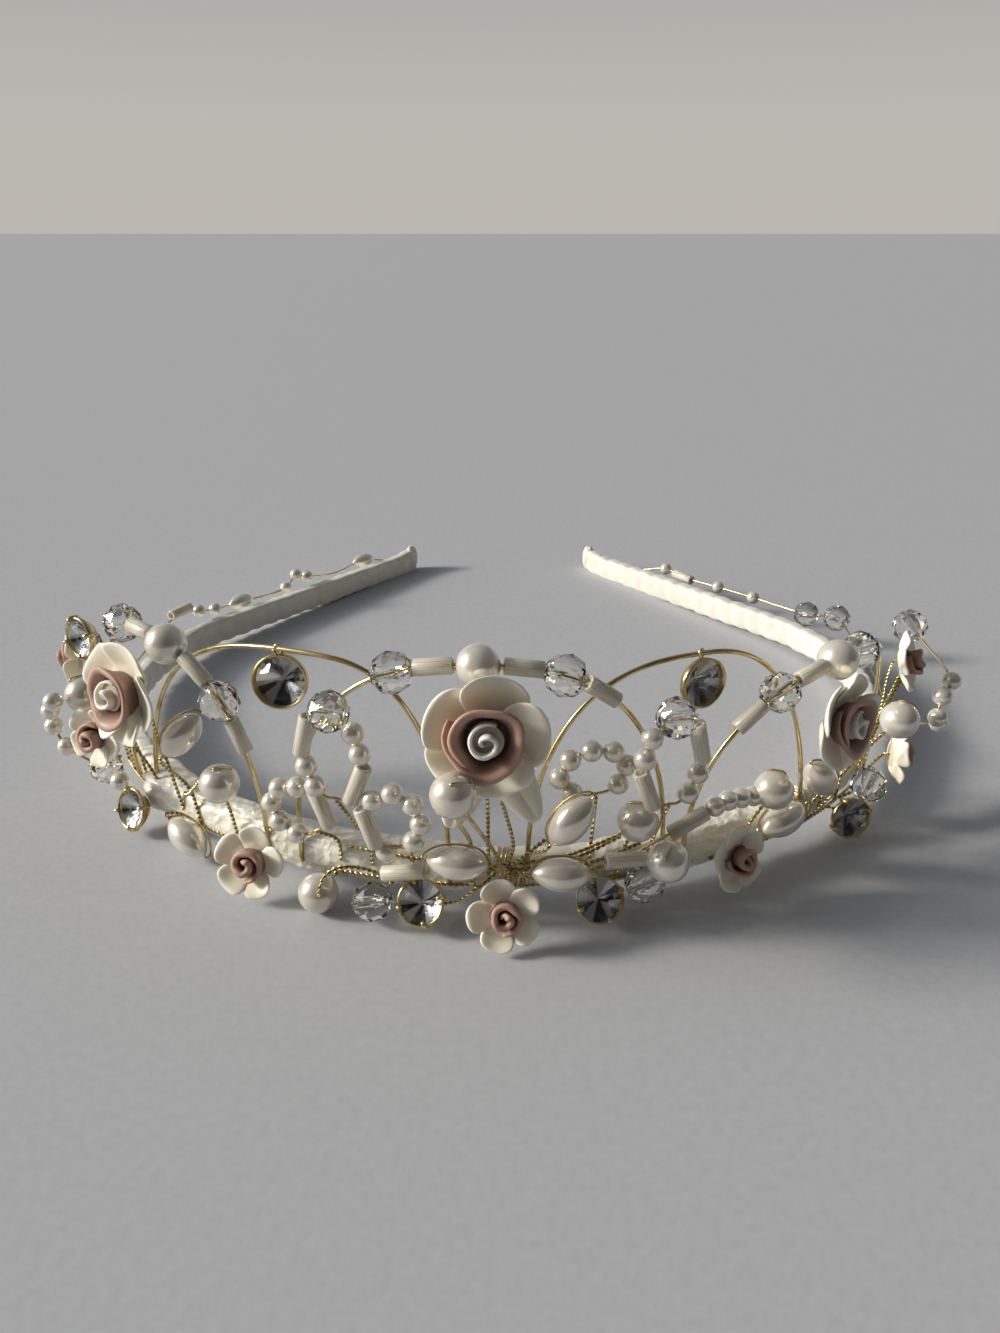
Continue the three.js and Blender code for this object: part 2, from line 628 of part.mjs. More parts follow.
function armString(name) {
  const rows = stringRows[name];
  const points = rows.map((row) => spot(row.along, row.out, row.up));
  const path = pathThrough(points);
  const fine = 20;
  const lengths = path.getLengths((rows.length - 1) * fine);
  const beads = rows.flatMap((row, index) => {
    const at = Math.max(lengths[index * fine], row.bead ? beadKinds[row.bead].length / 2 + 0.1 : 0);
    return row.bead ? [{ kind: row.bead, at }] : [];
  });
  return piece(name, beadString(points, beads, stemRadius, 13), pearl);
}

// Stems: each leaves a wire laid along the foot of the band and ends just short of the piece it carries.
// End picks the end of a long pearl; via rows are along, out and up.
const stemRows = {
  stems_centre: [
    { to: 'rose_centre', root: -1.5, via: [[-1.5, 4.4, 20]] },
    { to: 'pearl_centre_low', root: -3.6, via: [[-3.6, 4.4, 13], [-4.4, 9.4, 19.5]] },
    { to: 'rice_pearl_centre_left', root: 1, end: 1, via: [[0.8, 4.2, 9]] },
    { to: 'rice_pearl_centre_high', root: 2.8, end: -1, via: [[3.2, 4.2, 11]] },
    { to: 'rice_pearl_centre_low', root: 2.2, end: -1, via: [] },
    { to: 'rose_front', root: 0.4, via: [] },
    { to: 'rhinestone_front_left', root: -9.7, via: [] },
    { to: 'rhinestone_front_right', root: 12.4, via: [] },
    { to: 'crystal_front_left', root: -14, via: [] },
    { to: 'crystal_front_right', root: 16.6, via: [] },
    { to: 'pearl_right_high', root: 15.6, via: [[15.6, 3, 9]] },
    { to: 'pearl_right_low', root: 24.6, via: [] },
    { to: 'pearl_left_low', root: -22, via: [] },
  ],
  stems_left: [
    { to: 'rose_front_left', root: -34, via: [] },
    { to: 'pearl_left_high', root: -38.5, via: [[-38.5, 3.2, 10]] },
    { to: 'rice_pearl_left_high', root: -46.5, end: -1, via: [[-47, 3.2, 11]] },
    { to: 'rice_pearl_left_low', root: -51, end: -1, via: [] },
    { to: 'rose_left', root: -50.5, via: [[-50.5, 4.4, 17]] },
    { to: 'rhinestone_left', root: -58.6, via: [] },
    { to: 'rose_low_left', root: -56, via: [[-56.4, 3.2, 9], [-57.6, 5.4, 14.6]] },
    { to: 'pearl_left_out', root: -61.5, via: [[-61.8, 3.6, 13]] },
    { to: 'rhinestone_back_left', root: -68.5, via: [[-68.5, 3.4, 16]] },
    { to: 'rose_back_left', root: -72.5, via: [[-72.5, 3.4, 14]] },
  ],
  stems_right: [
    { to: 'rose_front_right', root: 30.5, via: [] },
    { to: 'pearl_right_side', root: 35, via: [[35, 3, 9]] },
    { to: 'rice_pearl_right_low', root: 48, end: 1, via: [] },
    { to: 'rice_pearl_right_high', root: 47.6, end: 1, via: [[47.8, 3.6, 6.4]] },
    { to: 'rose_right', root: 51, via: [[51, 3.4, 12], [49, 5.4, 20]] },
    { to: 'rhinestone_right', root: 54, via: [] },
    { to: 'crystal_right', root: 57.6, via: [] },
    { to: 'pearl_right_out', root: 56, via: [[56, 3.4, 12]] },
    { to: 'rose_low_right', root: 62, via: [] },
    { to: 'rose_back_right', root: 66.5, via: [[66.5, 3.4, 15]] },
  ],
};

const spineOut = 2.3;

function spineSpot(along) {
  return spot(along, spineOut, bandFoot(along) + 0.9);
}

// Where a stem stops, and the direction from the piece back to the stem
function stemEnd(stem, from) {
  const clear = seat + stemRadius;
  const grain = ricePearlRows.find((row) => row.name === stem.to);
  if (grain) {
    const back = slopedAxis(grain).multiplyScalar(stem.end);
    const place = spot(grain.along, grain.out, grain.up);
    return { end: place.addScaledVector(back, ricePearlLength / 2 + seat), back };
  }
  const faced = [...roseRows, ...rhinestoneRows].find((row) => row.name === stem.to);
  if (faced) {
    const depth = faced.width * (roseRows.includes(faced) ? petalSink : 0.21);
    const back = facing(faced.along, faced.yaw, faced.pitch).negate();
    return { end: spot(faced.along, faced.out, faced.up).addScaledVector(back, depth + seat), back };
  }
  const round = [...pearlRows, ...crystalRows].find((row) => row.name === stem.to);
  const place = spot(round.along, round.out, round.up);
  const back = from.clone().sub(place).normalize();
  return { end: place.addScaledVector(back, pearlSize / 2 + clear), back };
}

function stemSpray(name) {
  const rows = stemRows[name];
  const roots = rows.map((row) => row.root);
  const first = Math.min(...roots) - 1;
  const last = Math.max(...roots) + 1;
  const spine = [];
  const count = Math.ceil((last - first) / 7);
  for (let i = 0; i <= count; i += 1) spine.push(spineSpot(first + ((last - first) * i) / count));
  const bodies = [wireAlong(spine, stemRadius, count)];
  for (const stem of rows) {
    const via = stem.via.map(([along, out, up]) => spot(along, out, up));
    const root = spineSpot(stem.root);
    const from = via.length > 0 ? via[via.length - 1] : root;
    const { end, back } = stemEnd(stem, from);
    const straight = Math.min(1, from.distanceTo(end) * 0.4);
    const points = [root, ...via, end.clone().addScaledVector(back, straight), end];
    bodies.push(wireAlong(points, stemRadius, 2 + via.length * 2));
  }
  return piece(name, fused(bodies), gold);
}

const headband = new THREE.Group();
headband.add(piece('ribbon_band', ribbonBand(), ribbon));
for (const arch of archRows) headband.add(archWire(arch));
for (const mesh of archBeads()) headband.add(mesh);
for (const mesh of stemBeads()) headband.add(mesh);
for (const row of rhinestoneRows) headband.add(rhinestone(row));
for (const row of roseRows) headband.add(rose(row));
for (const row of loopRows) headband.add(pearlLoop(row));
for (const name of Object.keys(stringRows)) headband.add(armString(name));
for (const name of Object.keys(stemRows)) headband.add(stemSpray(name));

headband.updateMatrixWorld(true);
const extent = new THREE.Box3().setFromObject(headband, true);
headband.position.set(-(extent.min.x + extent.max.x) / 2, -(extent.min.y + extent.max.y) / 2, -extent.min.z);
headband.updateMatrixWorld(true);

export default headband;
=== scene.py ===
import math
import random

import bmesh
import bpy
import numpy as np
from mathutils import Matrix, Vector, noise


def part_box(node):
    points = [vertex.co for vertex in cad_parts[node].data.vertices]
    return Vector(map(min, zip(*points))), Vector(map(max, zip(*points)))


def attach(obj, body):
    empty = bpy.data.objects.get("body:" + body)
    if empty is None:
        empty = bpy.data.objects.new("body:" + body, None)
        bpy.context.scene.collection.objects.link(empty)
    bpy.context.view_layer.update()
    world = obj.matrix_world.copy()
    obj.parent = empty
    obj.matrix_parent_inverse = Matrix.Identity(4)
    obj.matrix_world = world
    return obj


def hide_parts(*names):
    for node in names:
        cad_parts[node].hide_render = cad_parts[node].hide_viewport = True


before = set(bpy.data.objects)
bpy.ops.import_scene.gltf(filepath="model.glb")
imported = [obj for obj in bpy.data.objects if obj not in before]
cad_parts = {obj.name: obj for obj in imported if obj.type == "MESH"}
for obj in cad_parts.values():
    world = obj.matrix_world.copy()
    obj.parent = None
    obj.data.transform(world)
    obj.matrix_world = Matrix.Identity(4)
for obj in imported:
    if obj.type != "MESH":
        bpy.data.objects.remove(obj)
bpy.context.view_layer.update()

mm = 0.001
upward = np.array([0.0, 0.0, 1.0])
print("frame loaded:", len(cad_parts), "nodes")


def linear(hexText):
    shares = [int(hexText[i:i + 2], 16) / 255 for i in (1, 3, 5)]
    return tuple(c / 12.92 if c <= 0.04045 else ((c + 0.055) / 1.055) ** 2.4 for c in shares) + (1.0,)


def addNode(tree, kind, values=None, links=None, **settings):
    node = tree.nodes.new(kind)
    for key, value in settings.items():
        setattr(node, key, value)
    for key, value in (values or {}).items():
        node.inputs[key].default_value = value
    for key, source in (links or {}).items():
        tree.links.new(source, node.inputs[key])
    return node


def joined(tree, first, second, operation="ADD", **settings):
    links = {0: first, 1: second}
    return addNode(tree, "ShaderNodeMath", links=links, operation=operation, **settings).outputs[0]


def perMm(size):
    return 1 / (size * mm)  # texture scale whose features are about this many millimetres


def newPiece(name, mesh):
    piece = bpy.data.objects.new(name, mesh)
    bpy.context.scene.collection.objects.link(piece)
    return piece


def makeMesh(name, points, faces, looks, smooth=True, marks=None, faceLooks=None, facets=None):
    mesh = bpy.data.meshes.new(name)
    mesh.from_pydata((np.asarray(points, float) * mm).tolist(), [], [list(face) for face in faces])
    mesh.polygons.foreach_set("use_smooth", [smooth] * len(mesh.polygons))
    for look in looks:
        mesh.materials.append(look)
    if faceLooks is not None:
        mesh.polygons.foreach_set("material_index", faceLooks)
    # A painted glint brightness for each face, where one is given
    if facets is not None:
        mesh.attributes.new("paintedGlint", "FLOAT", "FACE").data.foreach_set("value", facets)
    for label, values in (marks or {}).items():
        values = np.asarray(values, np.float32)
        isVector = values.ndim > 1
        mark = mesh.attributes.new(label, "FLOAT_VECTOR" if isVector else "FLOAT", "POINT")
        mark.data.foreach_set("vector" if isVector else "value", values.ravel())
    mesh.update()
    return newPiece(name, mesh)


def setDown(piece, slotName, *nodes):
    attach(piece, "root")
    if nodes:
        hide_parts(*nodes)


# Node trees: one strews a bead over marked points, the others draw plain or twisted wire along edges
def newTree(name, inputs):
    tree = bpy.data.node_groups.new(name, "GeometryNodeTree")
    tree.interface.new_socket("Geometry", in_out="INPUT", socket_type="NodeSocketGeometry")
    for label, kind in inputs.items():
        tree.interface.new_socket(label, in_out="INPUT", socket_type=kind)
    tree.interface.new_socket("Geometry", in_out="OUTPUT", socket_type="NodeSocketGeometry")
    return tree, addNode(tree, "NodeGroupInput").outputs


def endTree(tree, geometry, material):
    whole = addNode(tree, "GeometryNodeRealizeInstances", links={0: geometry})
    painted = addNode(tree, "GeometryNodeSetMaterial", links={
        "Geometry": whole.outputs[0], "Material": material})
    addNode(tree, "NodeGroupOutput", links={0: painted.outputs[0]})
    return tree


def makeBeadTree():
    tree, given = newTree("beadsOnPoints", {"Bead": "NodeSocketObject", "Material": "NodeSocketMaterial"})
    bead = addNode(tree, "GeometryNodeObjectInfo", links={"Object": given["Bead"]})
    turn = addNode(tree, "GeometryNodeInputNamedAttribute", {"Name": "turn"}, data_type="QUATERNION")
    size = addNode(tree, "GeometryNodeInputNamedAttribute", {"Name": "size"}, data_type="FLOAT_VECTOR")
    strewnBeads = addNode(tree, "GeometryNodeInstanceOnPoints", links={
        "Points": given["Geometry"], "Instance": bead.outputs["Geometry"],
        "Rotation": turn.outputs[0], "Scale": size.outputs[0]})
    return endTree(tree, strewnBeads.outputs[0], given["Material"])


def makeWireTree(isTwisted):
    tree, given = newTree("twistedWire" if isTwisted else "plainWire", {
        "Radius": "NodeSocketFloat", "Pitch": "NodeSocketFloat", "Sides": "NodeSocketInt",
        "Material": "NodeSocketMaterial"})
    line = addNode(tree, "GeometryNodeMeshToCurve", links={"Mesh": given["Geometry"]}).outputs[0]
    profile = addNode(tree, "GeometryNodeCurvePrimitiveCircle", links={
        "Resolution": given["Sides"], "Radius": given["Radius"]}).outputs[0]
    if isTwisted:
        reach = addNode(tree, "GeometryNodeSplineParameter").outputs["Length"]
        turns = joined(tree, reach, given["Pitch"], "DIVIDE")
        tilt = addNode(tree, "ShaderNodeMath", {1: math.tau}, {0: turns}, operation="MULTIPLY")
        line = addNode(tree, "GeometryNodeSetCurveTilt", links={
            "Curve": line, "Tilt": tilt.outputs[0]}).outputs[0]
        back = addNode(tree, "ShaderNodeMath", {1: -1.0}, {0: given["Radius"]}, operation="MULTIPLY")
        strands = addNode(tree, "GeometryNodeJoinGeometry")
        for offset in (given["Radius"], back.outputs[0]):
            aside = addNode(tree, "ShaderNodeCombineXYZ", links={"X": offset})
            strand = addNode(tree, "GeometryNodeTransform", links={
                "Geometry": profile, "Translation": aside.outputs[0]})
            tree.links.new(strand.outputs[0], strands.inputs[0])
        profile = strands.outputs[0]
    wire = addNode(tree, "GeometryNodeCurveToMesh", {"Fill Caps": True}, {
        "Curve": line, "Profile Curve": profile})
    soft = addNode(tree, "GeometryNodeSetShadeSmooth", links={"Geometry": wire.outputs[0]})
    return endTree(tree, soft.outputs[0], given["Material"])


beadTree = makeBeadTree()
wireTrees = {True: makeWireTree(True), False: makeWireTree(False)}


def grown(name, host, tree, inputs):
    holder = newPiece(name + "_host", host)
    nodes = holder.modifiers.new("nodes", "NODES")
    nodes.node_group = tree
    sockets = {item.name: item.identifier for item in tree.interface.items_tree if item.in_out == "INPUT"}
    for label, value in inputs.items():
        nodes[sockets[label]] = value
    graph = bpy.context.evaluated_depsgraph_get()
    mesh = bpy.data.meshes.new_from_object(holder.evaluated_get(graph), depsgraph=graph)
    mesh.name = name
    holder.modifiers.remove(nodes)
    bpy.data.objects.remove(holder)
    return newPiece(name, mesh)


# rows hold the place in millimetres, the turn as three columns, and the size along the bead's own axes
def strewn(name, bead, rows, look):
    host = bpy.data.meshes.new(name + "_spots")
    host.from_pydata([tuple(np.asarray(row["place"]) * mm) for row in rows], [], [])
    turns = [tuple(Matrix(row["turn"].tolist()).to_quaternion()) for row in rows]
    host.attributes.new("turn", "QUATERNION", "POINT").data.foreach_set("value", np.ravel(turns))
    sizes = np.array([np.broadcast_to(row["size"], 3) for row in rows], np.float32)
    host.attributes.new("size", "FLOAT_VECTOR", "POINT").data.foreach_set("vector", sizes.ravel())
    piece = grown(name, host, beadTree, {"Bead": bead, "Material": look})
    bpy.data.objects.remove(bead)
    return piece


# Gilt wire along paths, as a twisted pair where a pitch is given
def layWire(name, paths, radius, *nodes, pitch=None, sides=6):
    points, edges = [], []
    for path in paths:
        start = len(points)
        points += [tuple(point * mm) for point in path]
        edges += [(start + i, start + i + 1) for i in range(len(path) - 1)]
    host = bpy.data.meshes.new(name + "_lines")
    host.from_pydata(points, edges, [])
    wire = grown(name, host, wireTrees[pitch is not None], {
        "Radius": radius * mm, "Pitch": (pitch or 1) * mm, "Sides": sides, "Material": gold})
    setDown(wire, "gold_wire", *nodes)


# Band line: distances along it are signed from its front middle, in millimetres
band = dict(frontRadius=70, frontSweep=math.radians(75), sideRadius=46, sideSweep=math.radians(52),
            armLength=61, height=4.8, thickness=2.4, lift=4, tipRest=9, wrapPitch=4.1, wrapRise=0.25,
            tipLength=5, tipRise=1.6)
frontLength = band["frontRadius"] * band["frontSweep"]
sideLength = band["sideRadius"] * band["sideSweep"]
halfLength = frontLength + sideLength + band["armLength"]
bandLow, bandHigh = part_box("ribbon_band")
bandFront = band["thickness"] / 2 + band["wrapRise"]
shift = np.array([(bandLow.x + bandHigh.x) / 2 / mm, bandLow.y / mm + bandFront, 0.0])


def bandAt(along):
    side = -1 if along < 0 else 1
    distance = abs(along)
    onSide = min(max(distance - frontLength, 0), sideLength)
    onArm = max(distance - frontLength - sideLength, 0)
    turn = min(distance, frontLength) / band["frontRadius"] + onSide / band["sideRadius"]
    x = band["frontRadius"] * math.sin(turn)
    y = band["frontRadius"] * (1 - math.cos(turn))
    if distance > frontLength:
        step = band["frontRadius"] - band["sideRadius"]
        x = step * math.sin(band["frontSweep"]) + band["sideRadius"] * math.sin(turn) + onArm * math.cos(turn)
        y = (band["frontRadius"] - step * math.cos(band["frontSweep"])
             - band["sideRadius"] * math.cos(turn) + onArm * math.sin(turn))
    outward = np.array([side * math.sin(turn), -math.cos(turn), 0])
    running = np.array([math.cos(turn), side * math.sin(turn), 0])
    return np.array([side * x, y, 0]) + shift, outward, running


restDepth = bandAt(halfLength - band["tipRest"])[0][1] - shift[1]


def spot(along, out, up):
    point, outward, _ = bandAt(along)
    return point + outward * out + upward * up


def bandFoot(along):
    return max(band["lift"] * (1 - (bandAt(along)[0][1] - shift[1]) / restDepth), 0)


# Centripetal Catmull-Rom curve through the points
def smoothPath(points, perSegment=10):
    points = [np.asarray(point, float) for point in points]
    line = [2 * points[0] - points[1], *points, 2 * points[-1] - points[-2]]
    path = []
    for i in range(len(points) - 1):
        a, b, c, d = line[i:i + 4]
        before, here, after = (max(np.linalg.norm(q - p), 1e-6) ** 0.5 for p, q in ((a, b), (b, c), (c, d)))
        leave = ((b - a) / before - (c - a) / (before + here) + (c - b) / here) * here
        arrive = ((c - b) / here - (d - b) / (here + after) + (d - c) / after) * here
        for t in np.linspace(0, 1, perSegment, endpoint=False):
            path.append(b + leave * t + (3 * (c - b) - 2 * leave - arrive) * t ** 2
                        + (2 * (b - c) + leave + arrive) * t ** 3)
    return np.array([*path, points[-1]])


def lengthsOf(path):
    return np.concatenate([[0], np.cumsum(np.linalg.norm(np.diff(path, axis=0), axis=1))])


def pointsAt(path, distances):
    lengths = lengthsOf(path)
    return np.stack([np.interp(distances, lengths, path[:, axis]) for axis in range(3)], axis=1)


def pointOn(path, distance):
    behind, place, ahead = pointsAt(path, [distance - 0.3, distance, distance + 0.3])
    return place, unit(ahead - behind)


def resampled(path, step):
    whole = lengthsOf(path)[-1]
    return pointsAt(path, np.linspace(0, whole, max(int(whole / step), 2) + 1))


def unit(vector):
    return np.asarray(vector, float) / np.linalg.norm(vector)


# Turn whose own Z looks along a direction, with its own Y as upright as it can be
def aimed(direction, roll=0):
    sideways = np.cross(upward, direction)
    sideways = unit(sideways) if np.linalg.norm(sideways) > 1e-3 else np.array([1.0, 0, 0])
    upright = np.cross(direction, sideways)
    c, s = math.cos(math.radians(roll)), math.sin(math.radians(roll))
    return np.stack([sideways * c + upright * s, upright * c - sideways * s, direction], axis=1)


def swung(vector, degrees):
    c, s = math.cos(math.radians(degrees)), math.sin(math.radians(degrees))
    return np.array([vector[0] * c - vector[1] * s, vector[0] * s + vector[1] * c, 0])


def raised(level, degrees):
    return level * math.cos(math.radians(degrees)) + upward * math.sin(math.radians(degrees))


def facing(row):
    return raised(swung(bandAt(row["along"])[1], row["yaw"]), row["pitch"])


def slopedAxis(row):
    return raised(swung(bandAt(row["along"])[2], row.get("yaw", 0)), row["slope"])


def nodeCentre(node):
    low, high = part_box(node)
    return np.array((low + high) / 2) / mm


# Rows of a table: one for each node, with its values under the columns' names
def rowsOf(columns, table):
    return [dict(zip(columns.split(), values), node=node) for node, values in table.items()]


def nodesOf(rows):
    return [row["node"] for row in rows]


def beadRow(place, axis, size):
    return dict(place=place, turn=aimed(axis), size=size)


# Rounds a cosine or sine off towards a square
def squared(share, power):
    return math.copysign(abs(share) ** power, share)


# Camera: the photo's own lens and place
photo = dict(height=1333, focal=1000, pitch=25, back=112.5, above=89, sensor=36, near=0.005, far=20)
cameraSpot = shift + np.array([0, -photo["back"], photo["above"]])


# Materials
def mixed(tree, factor, first, second):
    return addNode(tree, "ShaderNodeMix", {6: first, 7: second}, {0: factor}, data_type="RGBA").outputs[2]


def spread(tree, source, low, high, fromLow=0.3, fromHigh=0.7):
    limits = {1: fromLow, 2: fromHigh, 3: low, 4: high}
    return addNode(tree, "ShaderNodeMapRange", limits, {0: source}).outputs[0]


class Look:
    def __init__(self, name, sockets):
        self.material = bpy.data.materials.new(name)
        self.material.use_nodes = True
        self.tree = self.material.node_tree
        self.inputs = self.tree.nodes["Principled BSDF"].inputs
        for key, value in {"Subsurface Radius": (1.0, 0.85, 0.7), **sockets}.items():
            self.inputs[key].default_value = value
        self.spots = addNode(self.tree, "ShaderNodeTexCoord").outputs["Object"]

    def mark(self, label, output="Fac"):
        return addNode(self.tree, "ShaderNodeAttribute", attribute_name=label).outputs[output]

    def noise(self, size, detail, distortion=0.0):
        values = {"Scale": perMm(size), "Detail": detail, "Distortion": distortion}
        return addNode(self.tree, "ShaderNodeTexNoise", values, {"Vector": self.spots}).outputs[0]

    # Noise over the piece's own marked millimetres, pulled out along one way
    def lines(self, pull, detail):
        local = self.mark("local", "Vector")
        own = addNode(self.tree, "ShaderNodeMapping", {"Scale": pull}, {"Vector": local}).outputs[0]
        values = {"Scale": 1.0, "Detail": detail}
        return addNode(self.tree, "ShaderNodeTexNoise", values, {"Vector": own}).outputs[0]

    def share(self, source, *limits):
        return spread(self.tree, source, 0, 1, *limits)

    # Two colours by their share, and a third one over them where it is given
    def paint(self, share, first, second, over=None, third=None):
        colour = mixed(self.tree, share, linear(first), linear(second))
        if third:
            colour = addNode(self.tree, "ShaderNodeMix", {7: linear(third)}, {0: over, 6: colour},
                             data_type="RGBA").outputs[2]
        self.tree.links.new(colour, self.inputs["Base Color"])

    def roughen(self, source, low, high, *limits):
        self.tree.links.new(spread(self.tree, source, low, high, *limits), self.inputs["Roughness"])

    def bump(self, height, strength, depth):
        values = {"Strength": strength, "Distance": depth * mm}
        relief = addNode(self.tree, "ShaderNodeBump", values, {"Height": height})
        self.tree.links.new(relief.outputs[0], self.inputs["Normal"])


# Gilt brass, drawn to thin wire: bright yellow lines of light over a pale olive gold, dulled here and there
def giltBrass():
    look = Look("giltBrassWire", {"Metallic": 1.0})
    dull = look.noise(4, 5)
    look.paint(look.share(dull, 0.42, 0.66), "#EBD9A6", "#B79C5C")
    look.roughen(dull, 0.14, 0.32)
    look.bump(look.noise(0.35, 2), 0.12, 0.05)
    return look.material


# Imitation pearl, glass core dipped in nacre lacquer: a sharp window spot in a soft glow, each bead a little
# warmer or cooler than the next, with a trace of rainbow from the thin coat
def nacre():
    look = Look("nacreLacquer", {
        "Metallic": 0.42, "Coat Weight": 1.0, "Coat Roughness": 0.03, "Coat IOR": 1.7,
        "Specular IOR Level": 0.7, "Subsurface Weight": 0.2, "Subsurface Scale": 1.2 * mm,
        "Thin Film Thickness": 320.0, "Thin Film IOR": 1.6})
    warm = look.noise(9, 1)
    swirl = look.noise(1.6, 3, 1.5)
    look.paint(look.share(warm), "#F2ECDF", "#E8DECB", spread(look.tree, swirl, 0, 0.35, 0.4, 0.7), "#F8F6F2")
    look.roughen(swirl, 0.16, 0.26)
    return look.material


# Satin glass, drawn into fibres and cut as tubes: silky cream with fine light lines along its length
def satinGlass():
    look = Look("satinGlass", {
        "Transmission Weight": 0.22, "IOR": 1.5, "Subsurface Weight": 0.3, "Subsurface Scale": 1.0 * mm,
        "Coat Weight": 0.35, "Coat Roughness": 0.12})
    fibre = look.lines((7.0, 7.0, 0.35), 4)
    look.paint(look.share(fibre, 0.35, 0.65), "#DDD2B9", "#F6F1E4")
    look.roughen(fibre, 0.22, 0.42)
    look.bump(fibre, 0.25, 0.06)
    return look.material


# Clear cut acrylic: bright edges and dark inner reflections, faintly rubbed where it was handled
def cutAcrylic():
    look = Look("cutAcrylic", {
        "Base Color": linear("#FBFAF6"), "Transmission Weight": 1.0, "IOR": 1.49, "Specular IOR Level": 0.6})
    look.roughen(look.noise(2.5, 4), 0.0, 0.05, 0.45, 0.75)
    return look.material


# Lead glass of the foiled stones: hard sparkle, a cold tint in its depth
def leadGlass():
    look = Look("leadGlass", {
        "Transmission Weight": 1.0, "IOR": 1.58, "Roughness": 0.01, "Alpha": 0.35, "Specular IOR Level": 0.8})
    look.paint(look.share(look.noise(2, 2)), "#FFFFFF", "#E4E7F2")
    return look.material


# Silver foil under the stones, painted face by face from nearly black to white: painted glints and painted
# dark reflections, as the cut throws the light about
def silverFoil():
    look = Look("silverFoil", {"Metallic": 0.6, "Roughness": 0.15})
    look.paint(look.mark("paintedGlint"), "#14161B", "#FFFFFF")
    look.bump(look.noise(0.9, 2), 0.3, 0.05)
    return look.material


# Cold porcelain, rolled thin by hand and air dried: soft satin, slightly see-through, with fine pits; a
# painted highlight lies along the rims, and a painted shade, partly a warmer tint, deepens towards the heart
# of the flower
def coldPorcelain(name, pale, deep, rimHighlight):
    look = Look(name, {
        "Subsurface Weight": 0.2, "Subsurface Scale": 0.8 * mm, "Sheen Weight": 0.08,
        "Specular IOR Level": 0.4})
    cloud = look.noise(3, 4)
    uneven = spread(look.tree, cloud, -0.14, 0.14)
    # Painted shade in the hollows, partly a warmer tint, over a random unevenness of tone
    share = joined(look.tree, look.mark("blush"), uneven, use_clamp=True)
    # The paler rim colour is a painted highlight along the thin edges
    look.paint(share, pale, deep, look.mark("rim"), rimHighlight)
    look.roughen(cloud, 0.38, 0.55)
    look.bump(look.noise(0.45, 5), 0.22, 0.08)
    return look.material


# Acetate satin ribbon: ivory, with a silky run of light along fine warp lines, which are drawn coarser than
# the real 0.1 mm so that they show, and small pull creases across each turn
def acetateSatin():
    look = Look("acetateSatin", {"Sheen Weight": 0.35, "Sheen Roughness": 0.35, "Specular IOR Level": 0.55})
    warp = look.lines((0.25, 1 / 0.35, 1.0), 3)
    crease = look.noise(2.2, 3)
    look.paint(look.share(crease), "#E3DFD1", "#EFECE1")
    look.roughen(warp, 0.38, 0.58)
    look.bump(joined(look.tree, warp, crease), 0.35, 0.1)
    return look.material


# Clear film wound over the front of the band: crumpled, milky where it folds and bright along its creases
def crumpledFilm():
    look = Look("crumpledFilm", {
        "IOR": 1.46, "Coat Weight": 0.6, "Coat Roughness": 0.12, "Subsurface Weight": 0.2,
        "Subsurface Scale": 0.8 * mm})
    fold = look.noise(1.6, 5, 1.2)
    look.paint(look.share(fold), "#F4EEDC", "#FFFDF4")
    look.roughen(fold, 0.14, 0.4)
    flats = addNode(look.tree, "ShaderNodeTexVoronoi", {"Scale": perMm(1.5)}, {"Vector": look.spots})
    look.bump(joined(look.tree, flats.outputs["Distance"], fold), 0.8, 0.35)
    return look.material


# Matte paper under the object: pale cool grey, with a faint fibre
def mattePaper():
    look = Look("mattePaper", {"Roughness": 0.85, "Specular IOR Level": 0.2})
    fibre = look.noise(1.2, 6)
    look.paint(look.share(fibre), "#BABCC0", "#C2C4C8")
    look.bump(fibre, 0.15, 0.1)
    return look.material


gold = giltBrass()
pearlLook = nacre()
bugleLook = satinGlass()
crystalLook = cutAcrylic()
stoneLook = leadGlass()
foilLook = silverFoil()
# Each porcelain: pale colour; deep colour, laid on as painted shade in the hollows and partly a warmer tint;
# paler rim colour, a painted highlight
creamLook = coldPorcelain("creamPorcelain", "#FBF4DF", "#D8C8AC", "#FFFCF1")
pinkLook = coldPorcelain("pinkPorcelain", "#AE8A76", "#715044", "#C09D8A")
heartLook = coldPorcelain("whitePorcelain", "#EAE5D8", "#B9AE98", "#FBFAF4")
leafLook = coldPorcelain("leafPorcelain", "#EDE6D4", "#DCD0B8", "#FAF6EA")
ribbonLook = acetateSatin()
filmLook = crumpledFilm()
paperLook = mattePaper()
print("materials made:", len(bpy.data.materials))


# Ribbon: one turn of flat ribbon, instanced along the band so that each turn laps over the next
ribbonTurn = dict(width=6.2, lip=0.16, crown=0.17, rise=0.1, edge=0.05, wave=0.05, thickness=0.06, girth=14,
                  around=30, squareness=0.5, wobble=3.2, tipShare=0.4, tipGap=0.3, tipReach=15,
                  across=(0, 0.03, 0.2, 0.4, 0.6, 0.8, 0.93, 0.985, 1))


